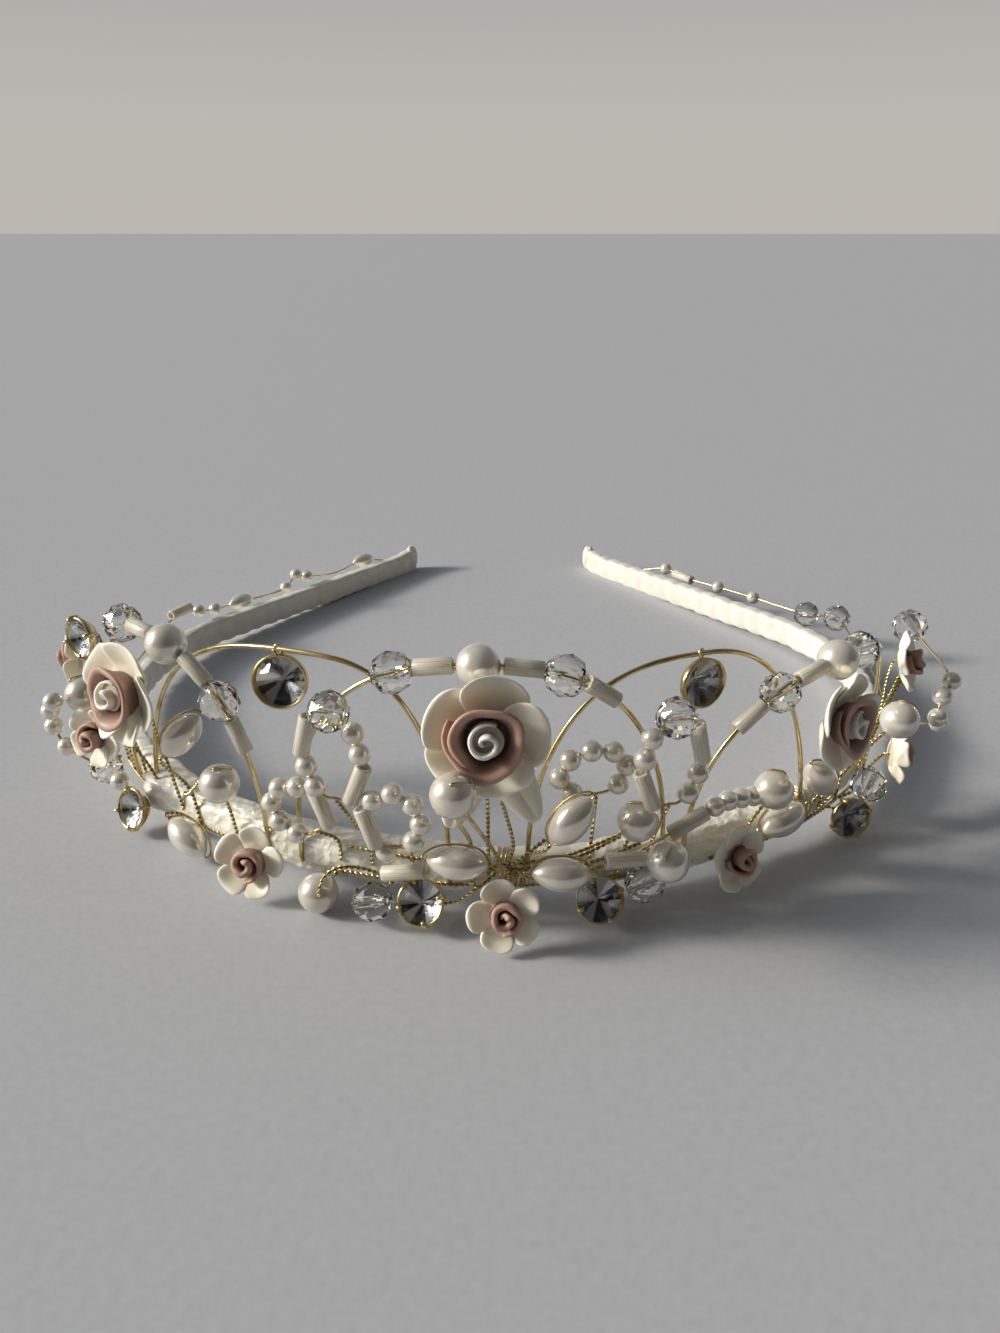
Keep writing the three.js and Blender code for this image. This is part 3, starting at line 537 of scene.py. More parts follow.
def ribbonTurnMesh():
    around, across = ribbonTurn["around"], len(ribbonTurn["across"]) - 1
    points, local = [], []
    for layer in (0, -ribbonTurn["thickness"]):
        for i in range(around + 1):
            angle = -math.pi / 2 + math.tau * i / around
            c = squared(math.cos(angle), ribbonTurn["squareness"])
            s = squared(math.sin(angle), ribbonTurn["squareness"])
            for v in ribbonTurn["across"]:
                edge = ribbonTurn["edge"] if v == 1 else 0
                crown = ribbonTurn["crown"] * math.cos(math.pi * (2 * v - 1)) - edge
                wave = ribbonTurn["wave"] * math.sin(math.pi * v) * math.sin(3 * angle)
                rise = ribbonTurn["rise"] + ribbonTurn["lip"] * v + crown + wave + layer
                z = band["wrapPitch"] * (i / around - 0.5) + (v - 0.5) * ribbonTurn["width"]
                points.append(((band["thickness"] / 2 + rise) * c, (band["height"] / 2 + rise) * s, z))
                local.append((ribbonTurn["girth"] * i / around, ribbonTurn["width"] * v, 0))
    row = across + 1
    layerStart = (around + 1) * row
    faces = []
    for i in range(around):
        for j in range(across):
            a = i * row + j
            faces.append((a, a + 1, a + row + 1, a + row))
            faces.append(tuple(layerStart + k for k in (a + row, a + row + 1, a + 1, a)))
        for j, flip in ((0, False), (across, True)):
            a = i * row + j
            rim = (a, a + row, layerStart + a + row, layerStart + a)
            faces.append(rim[::-1] if flip else rim)
    for i, flip in ((0, True), (around, False)):
        for j in range(across):
            a = i * row + j
            lip = (a, a + 1, layerStart + a + 1, layerStart + a)
            faces.append(lip[::-1] if not flip else lip)
    return makeMesh("ribbonTurn", points, faces, [ribbonLook], marks={"local": local})


def windRibbon():
    chance = random.Random(11)
    count = round(2 * halfLength / band["wrapPitch"])
    rows = []
    for i in range(count):
        along = -halfLength + 2 * halfLength * (i + 0.5) / count
        point, outward, running = bandAt(along)
        tip = max(1 - (halfLength - abs(along)) / band["tipLength"], 0) * band["tipRise"]
        tip *= ribbonTurn["tipShare"]
        sway = math.radians(chance.uniform(-1, 1) * ribbonTurn["wobble"])
        turn = np.stack([outward, upward, -running], axis=1) @ np.array(Matrix.Rotation(sway, 3, "X"))
        scale = 1 + chance.uniform(-0.02, 0.03)
        rows.append(dict(place=point + upward * (bandFoot(along) + band["height"] / 2 + tip / 2), turn=turn,
                         size=(scale, 1 + tip / band["height"], 1)))
    return cutAtTips(strewn("ribbonWinding", ribbonTurnMesh(), rows, ribbonLook))


# What the end turns have past the tips is pressed back against them
def cutAtTips(winding):
    flat = np.empty(3 * len(winding.data.vertices))
    winding.data.vertices.foreach_get("co", flat)
    points = flat.reshape(-1, 3) / mm
    for side in (-1, 1):
        tip, _, running = bandAt(side * (halfLength - ribbonTurn["tipGap"]))
        past = (points - tip) @ running * side
        near = (past > 0) & (np.linalg.norm(points - tip, axis=1) < ribbonTurn["tipReach"])
        points[near] -= np.outer(past[near], running * side)
    winding.data.vertices.foreach_set("co", (points * mm).ravel())
    return tidied(winding)


# Four-sided faces between closed rings of points that follow one another
def ringFaces(start, rings, around, isFlipped=False):
    faces = []
    for i in range(rings - 1):
        for j in range(around):
            a, b = start + i * around + j, start + i * around + (j + 1) % around
            faces.append((a, a + around, b + around, b) if isFlipped else (a, b, b + around, a + around))
    return faces


# Knobs of ribbon folded over the two tips
tipKnob = dict(thick=1.5, tall=3.2, long=1.7, inset=0.4, around=20, rows=10, squareness=0.75)


def foldTips():
    points, local, faces = [], [], []
    for side in (-1, 1):
        place, outward, running = bandAt(side * (halfLength - tipKnob["inset"]))
        faces += ringFaces(len(points), tipKnob["rows"] + 1, tipKnob["around"])
        for i in range(tipKnob["rows"] + 1):
            tilt = -math.pi / 2 + math.pi * i / tipKnob["rows"]
            for j in range(tipKnob["around"]):
                angle = math.tau * j / tipKnob["around"]
                ring = math.cos(tilt) ** tipKnob["squareness"] if abs(math.cos(tilt)) > 1e-6 else 0
                x = tipKnob["thick"] * ring * math.cos(angle)
                z = tipKnob["long"] * ring * math.sin(angle)
                y = tipKnob["tall"] * math.sin(tilt) * (1 + 0.04 * math.sin(3 * angle))
                points.append(place + outward * x + running * z * side + upward * (y + tipKnob["tall"]))
                local.append((angle * 2, y, 0))
    return tidied(makeMesh("ribbonTips", points, faces, [ribbonLook], marks={"local": local}))


# Merges doubled points and turns all faces outwards
def tidied(piece):
    work = bmesh.new()
    work.from_mesh(piece.data)
    bmesh.ops.remove_doubles(work, verts=work.verts, dist=0.002 * mm)
    bmesh.ops.dissolve_degenerate(work, edges=work.edges, dist=0.001 * mm)
    bmesh.ops.recalc_face_normals(work, faces=work.faces)
    work.to_mesh(piece.data)
    work.free()
    piece.data.update()
    return piece


setDown(windRibbon(), "satin_ribbon", "ribbon_band")
setDown(foldTips(), "satin_ribbon")

# Crumpled film over the front of the band, in lengths between the flowers
filmLengths = [dict(start=-62, end=-3.5, swell=0.75, bulgeAt=-57, bulge=2.4),
               dict(start=12, end=42, swell=0.55, bulgeAt=40, bulge=0.0)]
filmWrap = dict(around=40, step=0.6, rise=0.35, crumple=0.49, grain=5, squareness=0.7, fadeSteps=4,
                bulgeReach=4)


def wrapFilm():
    points, faces = [], []
    around = filmWrap["around"]
    for length in filmLengths:
        count = round((length["end"] - length["start"]) / filmWrap["step"])
        start = len(points)
        for i in range(count + 1):
            along = length["start"] + (length["end"] - length["start"]) * i / count
            point, outward, _ = bandAt(along)
            centre = point + upward * (bandFoot(along) + band["height"] / 2)
            fade = min(i, count - i, filmWrap["fadeSteps"]) / filmWrap["fadeSteps"]
            past = (along - length["bulgeAt"]) / filmWrap["bulgeReach"]
            bulge = length["bulge"] * math.exp(-past ** 2) * fade
            for j in range(around):
                angle = math.tau * j / around
                c, s = math.cos(angle), math.sin(angle)
                flow = Vector((along / filmWrap["grain"], 4 * c, 4 * s))
                ruck = noise.noise(flow) + 0.5 * noise.noise(flow * 2.3)
                swell = filmWrap["rise"] + fade * (length["swell"] + filmWrap["crumple"] * ruck)
                x = (band["thickness"] / 2 + swell) * squared(c, filmWrap["squareness"]) + bulge * max(c, 0)
                y = (band["height"] / 2 + swell * 0.8) * squared(s, filmWrap["squareness"])
                points.append(centre + outward * x + upward * y)
        faces += ringFaces(start, count + 1, around)
        faces.append([start + j for j in range(around)][::-1])
        faces.append([start + count * around + j for j in range(around)])
    return tidied(makeMesh("crumpledFilm", points, faces, [filmLook]))


setDown(wrapFilm(), "satin_ribbon")
print("band wound")

# Arches: rounded-square rises that lean outwards
archForm = dict(legOut=2.4, footUp=6, power=2.5, radius=0.35, gap=0.3, steps=16, dropRadius=0.2,
                footIn=0.2, footLow=1.2)
archRows = [
    dict(node="arch_centre", start=-27.5, crown=-2.5, end=21.8, apex=38, lean=3, anchor=-2.5,
         before=["bugle", "crystal"], after=["bugle", "crystal", "bugle"]),
    dict(node="arch_left", start=-58, crown=-25, end=-6.6, apex=35.8, lean=-1, drop=-30.4),
    dict(node="arch_right", start=3.5, crown=26, end=46, apex=35.6, lean=-1, drop=27.3),
    dict(node="arch_side_left", start=-66, crown=-50, end=-32.8, apex=36, lean=5, anchor=-44.6,
         before=["bugle", "crystal"], after=["bugle", "crystal", "bugle"]),
    dict(node="arch_side_right", start=24.8, crown=48, end=64, apex=32.6, lean=5, anchor=46,
         before=["bugle", "crystal", "bugle"], after=["crystal"]),
]
beadSizes = dict(pearl=5.6, crystal=5.6, bugle=4.9, bugleWidth=2.2, riceLength=8.2, riceWidth=4.6)
strungLengths = dict(pearl=beadSizes["pearl"], crystal=beadSizes["crystal"] * 0.92, bugle=beadSizes["bugle"])
archBeadNodes = dict(
    pearl=["pearl_top", "pearl_side_left", "pearl_side_right"],
    crystal=["crystal_centre_left", "crystal_centre_right", "crystal_far_left", "crystal_side_left",
             "crystal_side_right", "crystal_far_right"])


def archPoint(arch, along):
    half = arch["crown"] - arch["start"] if along < arch["crown"] else arch["end"] - arch["crown"]
    across = min(abs(along - arch["crown"]) / half, 1)
    rise = (1 - across ** archForm["power"]) ** (1 / archForm["power"])
    out = archForm["legOut"] + (arch["lean"] - archForm["legOut"]) * rise ** 1.5
    return spot(along, out, archForm["footUp"] + (arch["apex"] - archForm["footUp"]) * rise)


def archPath(arch):
    points = []
    for i in range(archForm["steps"] + 1):
        cosine = -math.cos(math.pi * i / archForm["steps"])
        across = abs(cosine) ** (2 / archForm["power"])
        reach = (arch["start"] if cosine < 0 else arch["end"]) - arch["crown"]
        points.append(archPoint(arch, arch["crown"] + across * reach))
    return smoothPath(points)


# Bugles of an arch, counted outwards from the pearl in its middle
def archBugles(arch, path):
    lengths = lengthsOf(path)
    nearest = np.argmin(np.linalg.norm(path - archPoint(arch, arch["anchor"]), axis=1))
    rows = []
    for kinds, direction in ((arch["before"], -1), (arch["after"], 1)):
        reach = strungLengths["pearl"] / 2
        for kind in kinds:
            reach += archForm["gap"] + strungLengths[kind] / 2
            if kind == "bugle":
                rows.append(pointOn(path, lengths[nearest] + direction * reach))
            reach += strungLengths[kind] / 2
    return rows


def bugleMesh(sides=16):
    profile = [(0.55, -1), (0.92, -1), (1, -0.96), (1, 0.96), (0.92, 1), (0.55, 1)]
    return turnedMesh("bugle", profile, sides, bugleLook, isRing=True)


# Profile of radius and height turned about Z, closed on the axis or, as a ring, on itself
def turnedMesh(name, profile, sides, look, isRing=False, smooth=True, twist=()):
    points, faces = [], []
    for n, (radius, height) in enumerate(profile):
        for j in range(sides):
            angle = math.tau * (j + (twist[n] if twist else 0)) / sides
            points.append((radius * math.cos(angle), radius * math.sin(angle), height))
    last = len(profile) if isRing else len(profile) - 1
    for n in range(last):
        low, high = n * sides, ((n + 1) % len(profile)) * sides
        for j in range(sides):
            k = (j + 1) % sides
            if twist and twist[n] != twist[(n + 1) % len(profile)]:
                early = twist[n] > twist[(n + 1) % len(profile)]
                faces.append((low + j, low + k, high + (k if early else j)))
                faces.append((low + (j if early else k), high + k, high + j))
            else:
                faces.append((low + j, low + k, high + k, high + j))
    piece = makeMesh(name, points, faces, [look], smooth, marks={"local": points})
    return tidied(piece)


# Binding wire: short coils round the band
bindings = dict(at=(-52.5, 0.5, 48.5), turns=3, pitch=0.7, radius=0.16, swell=0.36, steps=14, sway=0.2,
                squareness=0.6)


def coilAt(along):
    path = []
    for i in range(bindings["turns"] * bindings["steps"] + 1):
        share = i / bindings["steps"]
        at = along + bindings["pitch"] * (share - bindings["turns"] / 2)
        at += bindings["sway"] * math.sin(i * 0.37 + along)
        point, outward, _ = bandAt(at)
        c = squared(math.cos(math.tau * share), bindings["squareness"])
        s = squared(math.sin(math.tau * share), bindings["squareness"])
        x = (band["thickness"] / 2 + bindings["swell"]) * c
        y = (band["height"] / 2 + bindings["swell"]) * s
        path.append(point + outward * x + upward * (bandFoot(at) + band["height"] / 2 + y))
    return np.array(path)


# Each wire runs down past the band's upper edge before it is bound there
def archLine(arch):
    path = archPath(arch)
    feet = [spot(at, archForm["legOut"] - archForm["footIn"], bandFoot(at) + archForm["footLow"])
            for at in (arch["start"], arch["end"])]
    return np.array([feet[0], *path, feet[1]])


# A stone hangs from its arch by a short wire that is wound once round it
def dropLine(arch):
    top = archPoint(arch, arch["drop"])
    running = bandAt(arch["drop"])[2]
    ring = [(0, -1.1), (-0.5, 0), (-0.3, 0.5), (0.1, 0.55), (0.4, 0), (0.3, -0.5), (0.15, -1.1)]
    return smoothPath([top + running * aside + upward * above + bandAt(arch["drop"])[1] * (0.4 - 0.12 * i)
                       for i, (aside, above) in enumerate(ring)])


for arch in archRows:
    name = arch["node"].replace("arch", "archWire")
    layWire(name, [archLine(arch)], archForm["radius"], arch["node"], sides=12)
layWire("stoneDrops", [dropLine(arch) for arch in archRows if "drop" in arch], archForm["dropRadius"])

bugleRows = []
bugleSize = (beadSizes["bugleWidth"] / 2, beadSizes["bugleWidth"] / 2, beadSizes["bugle"] / 2)
for arch in archRows:
    if "anchor" in arch:
        for place, tangent in archBugles(arch, archPath(arch)):
            bugleRows.append(beadRow(place, tangent, bugleSize))

layWire("bindingWire", [coilAt(at) for at in bindings["at"]], bindings["radius"])
print("arches bent")

# Round pearls
stemPearls = [
    "pearl_centre_low", "pearl_right_high", "pearl_right_low", "pearl_right_side", "pearl_right_out",
    "pearl_left_low", "pearl_left_high", "pearl_left_out"]


def pearlMesh(sides=36, rows=18):
    profile = [(math.cos(a), math.sin(a)) for a in np.linspace(-math.pi / 2, math.pi / 2, rows + 1)]
    return turnedMesh("pearl", profile, sides, pearlLook)


pearlNodes = archBeadNodes["pearl"] + stemPearls
pearlRows = [dict(place=nodeCentre(node), turn=np.eye(3), size=beadSizes["pearl"] / 2) for node in pearlNodes]
setDown(strewn("roundPearls", pearlMesh(), pearlRows, pearlLook), "pearl", *pearlNodes)

# Rice pearls: long grains, drawn to a blunt point at each end
ricePearlRows = rowsOf("along slope yaw", {
    "rice_pearl_centre_left": (-5, -4), "rice_pearl_centre_high": (8.2, 52),
    "rice_pearl_centre_low": (7.4, -6), "rice_pearl_left_high": (-44.2, 48, 40),
    "rice_pearl_left_low": (-46.5, -24), "rice_pearl_right_low": (40, 12),
    "rice_pearl_right_high": (45, -50)})


def grainMesh(sides=32, rows=22):
    heights = np.sin(np.linspace(-math.pi / 2, math.pi / 2, rows + 1))
    profile = [((1 - abs(z) ** 2.1) ** 0.72, z) for z in heights]
    return turnedMesh("grain", profile, sides, pearlLook)


grainSize = (beadSizes["riceWidth"] / 2, beadSizes["riceWidth"] / 2, beadSizes["riceLength"] / 2)
grainRows = [beadRow(nodeCentre(row["node"]), slopedAxis(row), grainSize) for row in ricePearlRows]
setDown(strewn("ricePearls", grainMesh(), grainRows, pearlLook), "pearl", *nodesOf(ricePearlRows))

# Cut crystals: three belts of facets round a drilled hole
crystalCut = dict(sides=10, bore=0.17)
stemCrystals = rowsOf("along slope", {
    "crystal_front_left": (-16, 15), "crystal_front_right": (18.2, 20), "crystal_right": (58.6, 35)})


def crystalMesh():
    bore = crystalCut["bore"]
    profile = [(bore, -0.9), (0.42, -0.92), (0.82, -0.58), (1.0, 0.0), (0.82, 0.58), (0.42, 0.92),
               (bore, 0.9)]
    twist = [0, 0, 0.5, 0, 0.5, 0, 0]
    return turnedMesh("crystal", profile, crystalCut["sides"], crystalLook, True, False, twist)


crystalRows = [beadRow(nodeCentre(row["node"]), slopedAxis(row), beadSizes["crystal"] / 2)
               for row in stemCrystals]
for node in archBeadNodes["crystal"]:
    place = nodeCentre(node)
    paths = [archPath(arch) for arch in archRows if "anchor" in arch]
    path = min(paths, key=lambda line: np.linalg.norm(line - place, axis=1).min())
    nearest = np.argmin(np.linalg.norm(path - place, axis=1))
    _, tangent = pointOn(path, lengthsOf(path)[nearest])
    crystalRows.append(beadRow(place, tangent, beadSizes["crystal"] / 2))
setDown(strewn("cutCrystals", crystalMesh(), crystalRows, crystalLook), "crystal",
        *nodesOf(stemCrystals), *archBeadNodes["crystal"])
print("beads set")

# Rhinestones: a brilliant over foil in a gilt cup; stones under the arches have a plain rim, the rest claws
rhinestoneRows = rowsOf("along yaw pitch width claws", {
    "rhinestone_arch_left": (-30.4, 20, 12, 7.4, False),
    "rhinestone_arch_right": (27.3, 6, 5, 6.8, False),
    "rhinestone_front_left": (-9.7, -8, 35, 6.4, True),
    "rhinestone_front_right": (12.4, -6, 30, 6.4, True),
    "rhinestone_left": (-57.5, 10, 20, 6.4, True),
    "rhinestone_right": (53.6, -30, 12, 6.4, True),
    "rhinestone_back_left": (-67.8, 20, 5, 6.4, True)})
stoneCut = dict(sides=8, table=0.54, crown=0.46, girdle=0.12, band=0.06, base=-0.36, stone=0.93, neck=0.22,
                offset=0.04)


def brilliantMesh():
    n = stoneCut["sides"]
    rings = [(stoneCut["table"], stoneCut["crown"], n, 0), (0.79, 0.32, n, 0.5),
             (1, stoneCut["girdle"], 2 * n, 0), (1, stoneCut["girdle"] - stoneCut["band"], 2 * n, 0),
             (0.5, -0.18, n, 0.5), (0.12, stoneCut["base"], n, 0)]
    points, starts = [], []
    for radius, height, count, turn in rings:
        starts.append(len(points))
        for j in range(count):
            angle = math.tau * (j + turn) / count
            reach = radius * stoneCut["stone"]
            points.append((reach * math.cos(angle), reach * math.sin(angle), height))
    table, star, girdle, lower, belt, culet = starts
    faces = [[table + j for j in range(n)], [culet + j for j in range(n)][::-1]]
    for j in range(n):
        k = (j + 1) % n
        faces.append((table + j, star + j, table + k))
        faces.append((table + k, star + j, girdle + 2 * k, star + k))
        for half in (0, 1):
            a, b = (2 * j + half) % (2 * n), (2 * j + half + 1) % (2 * n)
            faces.append((star + j, girdle + a, girdle + b))
            faces.append((girdle + a, lower + a, lower + b, girdle + b))
            faces.append((belt + j, lower + b, lower + a))
        faces.append((belt + j, belt + k, lower + 2 * k))
        faces.append((belt + j, culet + j, culet + k))
        faces.append((belt + j, culet + k, belt + k))
    return tidied(makeMesh("brilliant", points, faces, [stoneLook], False))


# Foil pressed against the stone's back: each small face tips a little its own way
def foilMesh():
    chance = random.Random(5)
    sectors = 2 * stoneCut["sides"]
    rings = [(0.34, -0.3), (0.64, -0.14), (0.95, 0.05)]
    points = [(0, 0, -0.4)]
    for reach, height in rings:
        for j in range(sectors):
            angle = math.tau * (j + chance.uniform(-0.3, 0.3)) / sectors
            above = height + chance.uniform(-0.06, 0.03)
            points.append((reach * math.cos(angle), reach * math.sin(angle), above))
    points.append((0, 0, -0.45))
    faces = []
    for j in range(sectors):
        k = (j + 1) % sectors
        faces.append((0, 1 + j, 1 + k))
        for ring in range(len(rings) - 1):
            a, b = 1 + ring * sectors + j, 1 + ring * sectors + k
            faces.append((a, a + sectors, b + sectors))
            faces.append((a, b + sectors, b))
        rim = 1 + (len(rings) - 1) * sectors
        faces.append((len(points) - 1, rim + k, rim + j))
    # Painted glints: each face gets a painted brightness, from nearly black to white
    facets = [chance.choice((0.0, 0.0, 0.03, 0.5, 1.0, 1.0)) for _ in faces]
    return makeMesh("foil", points, faces, [foilLook], False, facets=facets)


cupForm = dict(sides=32, clawRim=0.2, plainRim=0.3, claws=4, clawTurn=math.pi / 8, taper=0.7)


def cupMesh(hasClaws):
    rim = cupForm["clawRim"] if hasClaws else cupForm["plainRim"]
    profile = [(0.0, -0.46), (0.62, -0.46), (1.0, 0.0), (1.02, rim), (0.94, rim + 0.02), (0.93, 0.06),
               (0.6, -0.36), (0.0, -0.43)]
    claw = [(1.03, -0.1, 0.12), (1.05, 0.2, 0.11), (0.94, 0.36, 0.1), (0.78, 0.42, 0.06)]
    cup = turnedMesh("cup", profile, cupForm["sides"], gold)
    if not hasClaws:
        return cup
    points = [vertex.co / mm for vertex in cup.data.vertices]
    faces = [list(face.vertices) for face in cup.data.polygons]
    for i in range(cupForm["claws"]):
        angle = math.tau * i / cupForm["claws"] + cupForm["clawTurn"]
        outward = np.array([math.cos(angle), math.sin(angle), 0])
        aside = np.array([-math.sin(angle), math.cos(angle), 0])
        start = len(points)
        for reach, height, wide in claw:
            middle = outward * reach + upward * height
            lift = outward * 0.05 + upward * 0.06
            inner = aside * wide * cupForm["taper"]
            points += [middle - aside * wide - lift, middle + aside * wide - lift, middle + inner + lift,
                       middle - inner + lift]
        faces += ringFaces(start, len(claw), 4)
        faces += [[start + j for j in (3, 2, 1, 0)], [start + 12 + j for j in range(4)]]
    bpy.data.objects.remove(cup)
    return tidied(makeMesh("clawCup", points, faces, [gold]))


def stonePlaces(rows):
    return [beadRow(stoneCentre(row), facing(row), row["width"] / 2) for row in rows]


# A stone's box is a little off its middle, because its crown and base differ in height
def stoneCentre(row):
    half = row["width"] / 2
    return nodeCentre(row["node"]) - facing(row) * stoneCut["offset"] * half


brilliants = strewn("rhinestones", brilliantMesh(), stonePlaces(rhinestoneRows), stoneLook)
setDown(brilliants, "foiled_stone", *nodesOf(rhinestoneRows))
setDown(strewn("rhinestoneFoil", foilMesh(), stonePlaces(rhinestoneRows), foilLook), "foiled_stone")
for hasClaws, label in ((True, "clawCups"), (False, "rimCups")):
    chosen = [row for row in rhinestoneRows if row["claws"] is hasClaws]
    setDown(strewn(label, cupMesh(hasClaws), stonePlaces(chosen), gold), "gold_wire")
print("stones set")

# Roses: separate rounded petals round a rolled heart
roseRows = rowsOf("along out up yaw pitch roll width", {
    "rose_centre": (-1.5, 9, 31.6, 2, 10, 23, 15.5),
    "rose_left": (-49.2, 9.5, 28.2, 3, 8, 20, 15),
    "rose_right": (43, 9.5, 26, 8, 6, 10, 13.6),
    "rose_front": (0.5, 9, 5.3, 0, 20, -19, 10),
    "rose_front_left": (-32.7, 6.8, 6, 16, 22, 27, 10.4),
    "rose_front_right": (30.6, 6.6, 7.4, 8, 12, 35, 9.6),
    "rose_low_left": (-58.2, 10, 17.8, 24, 8, 12, 9.6),
    "rose_low_right": (63, 8, 11.5, 30, 0, 24, 9.4),
    "rose_back_left": (-72.5, 7.5, 24, -20, 5, 0, 9.4),
    "rose_back_right": (64, 6.6, 26.6, 10, 15, 36, 9.4)})
rose = dict(large=12, petals=5, notch=0.52, dish=0.12, sink=0.08, wall=0.8, around=30, rollSteps=32,
            rings=(0.0, 0.3, 0.55, 0.75, 0.88, 0.96, 1.0))
# tint: how strongly the deep colour, painted shade partly a warmer tint, is laid on near the heart
petalShares = {True: dict(wide=0.53, long=0.43, tilt=1, tint=0.5),  # of large roses and of small ones
               False: dict(wide=0.43, long=0.4, tilt=0.6, tint=0.18)}
# Hearts of large and of small roses, in shares of half the rose's width; look 1 is pink and 2 white
heartRolls = {
    True: [dict(look=1, foot=(0.42, 0.36), lip=(0.66, 0.52), turns=1.4, wall=0.1, tall=0.5, start=2.2,
                ruffle=0.03),
           dict(look=2, foot=(0.31, 0.06), lip=(0.31, 0.06), turns=1.6, wall=0.06, tall=0.56, start=0.6)],
    False: [dict(look=1, foot=(0.48, 0.1), lip=(0.51, 0.1), turns=1.75, wall=0.14, tall=0.6, ruffle=0.015,
                 climb=0.14)]}
# Discs wholly in the deep colour that fill the heart's hollow, as painted shade
heartPlugs = {True: [dict(reach=0.28, above=0.36, wall=0.08, look=2),
                     dict(reach=0.4, above=0.1, wall=0.08, look=1)],
              False: [dict(reach=0.4, above=0.14, wall=0.1, look=1)]}
basePlug = dict(reach=0.42, under=0.1, wall=0.16)
leafForm = dict(length=11.2, width=5.2, droop=-6, wall=0.45, turns={"rose_centre": (137, -175)})


class Heap:
    def __init__(self):
        self.points, self.faces, self.blush, self.rim, self.looks = [], [], [], [], []

    def add(self, points, faces, blush, rim, look):
        start = len(self.points)
        self.points += [np.asarray(point, float) for point in points]
        self.faces += [[start + i for i in face] for face in faces]
        self.blush += list(blush)
        self.rim += list(rim)
        self.looks += [look] * len(faces)


# A lens-shaped disc: form gives each spot on it, from its share of the way to the rim and its angle
def discInto(heap, form, wall, look):
    around, rings = rose["around"], rose["rings"]
    points, blush, rim = [], [], []
    for layer in (1, -1):
        for share in rings:
            for j in range(around):
                place, tint = form(share, math.tau * j / around)
                thick = wall / 2 * math.sqrt(max(1 - share ** 5, 0))
                points.append(place + upward * layer * thick)
                blush.append(tint)
                # Painted highlight along the outermost tenth, towards the rim
                rim.append(max((share - 0.9) / 0.1, 0) ** 1.5)
    faces = []
    sheet = len(rings) * around
    for i in range(len(rings) - 1):
        for j in range(around):
            a, b = i * around + j, i * around + (j + 1) % around
            faces.append((a, a + around, b + around, b))
            faces.append((sheet + b, sheet + b + around, sheet + a + around, sheet + a))
    heap.add(points, faces, blush, rim, look)


# A flat disc wholly in the deep colour: painted shade in the hollow that it fills
def plugInto(heap, reach, height, wall, look):
    discInto(heap, lambda share, turn: (
        np.array([reach * share * math.cos(turn), reach * share * math.sin(turn), height]), 1.0), wall, look)


def petalForm(width, angle, chance):
    half = width / 2
    shares = petalShares[width > rose["large"]]
    wide = half * shares["wide"] * chance.uniform(0.94, 1.05)
    long = half * shares["long"]
    tilt = chance.uniform(0.1, 0.22) * shares["tilt"]
    cup = half * chance.uniform(0.02, 0.09)
    fold = half * chance.uniform(0.03, 0.08)
    swing = angle + math.radians(chance.uniform(-4, 4))
    c, s = math.cos(swing), math.sin(swing)

    def form(share, turn):
        aside = wide * share * math.sin(turn) * (1 + 0.16 * math.cos(turn))
        reach = half - long + long * share * math.cos(turn)
        rise = max(math.hypot(reach, aside) / half - rose["notch"], 0) / (1 - rose["notch"])
        curl = max(share * math.cos(turn) - 0.45, 0) ** 2
        z = width * (rose["dish"] * rise ** 1.3 - rose["sink"]) + rose["wall"] / 2
        z += tilt * aside + cup * (aside / wide) ** 2 - fold * curl * 2.2
        z += half * 0.025 * math.sin(3 * turn + angle * 5) * share ** 3
        # Painted shade, partly a warmer tint, deepening towards the heart
        tint = min(max(1.1 - (reach / half - 0.2) / 0.36, 0), 1) * shares["tint"]
        return np.array([reach * c - aside * s, reach * s + aside * c, z]), tint

    return form


# A strip stood on edge and rolled up: its foot and lip go from their outer to their inner reaches
def rollInto(heap, half, low, start, roll):
    section = [(0, 0), (0, 0.5), (0.25, 0.85), (0.1, 0.98), (-0.5, 1.0), (-1.0, 0.94), (-1, 0.5), (-1, 0)]
    # Along the section: painted shade deepening towards the foot, and a painted highlight along the top edge
    shadeAndHighlight = [(0.95, 0), (0.6, 0), (0.2, 0.2), (0, 0.7), (0, 0.8), (0.25, 0.3), (0.8, 0), (1, 0)]
    turns, ruffle = roll["turns"], half * roll.get("ruffle", 0)
    count = int(rose["rollSteps"] * turns)
    size = len(section)
    points, blush, rim = [], [], []
    for i in range(count + 1):
        t = i / count
        angle = start + math.tau * turns * t
        waves = ruffle * math.sin(3 * angle + 1) + 0.5 * ruffle * math.sin(5 * angle)
        footReach, lipReach = (half * (far + (near - far) * t) for far, near in (roll["foot"], roll["lip"]))
        grow = min(t * 5, (1 - t) * 5, 1)
        height = half * roll["tall"] * (0.7 + 0.3 * grow) * (1 + 0.05 * math.sin(2 * angle))
        height *= 1 + roll.get("climb", 0) * (2 * t - 1)
        thin = half * roll["wall"] * (0.5 + 0.5 * grow)
        for (aside, above), (tint, edge) in zip(section, shadeAndHighlight):
            r = footReach + (lipReach - footReach + waves) * above ** 1.7 + thin * aside
            r = max(r, 0.04)
            points.append((r * math.cos(angle), r * math.sin(angle), low + height * above))
            blush.append(tint)
            rim.append(edge)
    faces = ringFaces(0, count + 1, size, True)
    faces.append(list(range(size))[::-1])
    faces.append([count * size + n for n in range(size)])
    heap.add(points, faces, blush, rim, roll["look"])


def leafSurface(swing, start, floor):
    c, s = math.cos(swing), math.sin(swing)
    droop = math.tan(math.radians(leafForm["droop"]))

    def form(share, turn):
        along = leafForm["length"] / 2 * (1 + share * math.cos(turn))
        aside = leafForm["width"] / 2 * share * math.sin(turn) * (1 - 0.2 * math.cos(turn))
        reach = start + along
        z = floor + droop * reach + 0.3 * abs(aside) ** 0.5
        z -= 0.35 * (aside / leafForm["width"] * 2) ** 2 * 1.4
        # Deeper colour towards the middle of the leaf, paler towards its edge
        return np.array([reach * c - aside * s, reach * s + aside * c, z]), 0.5 - 0.4 * share

    return form


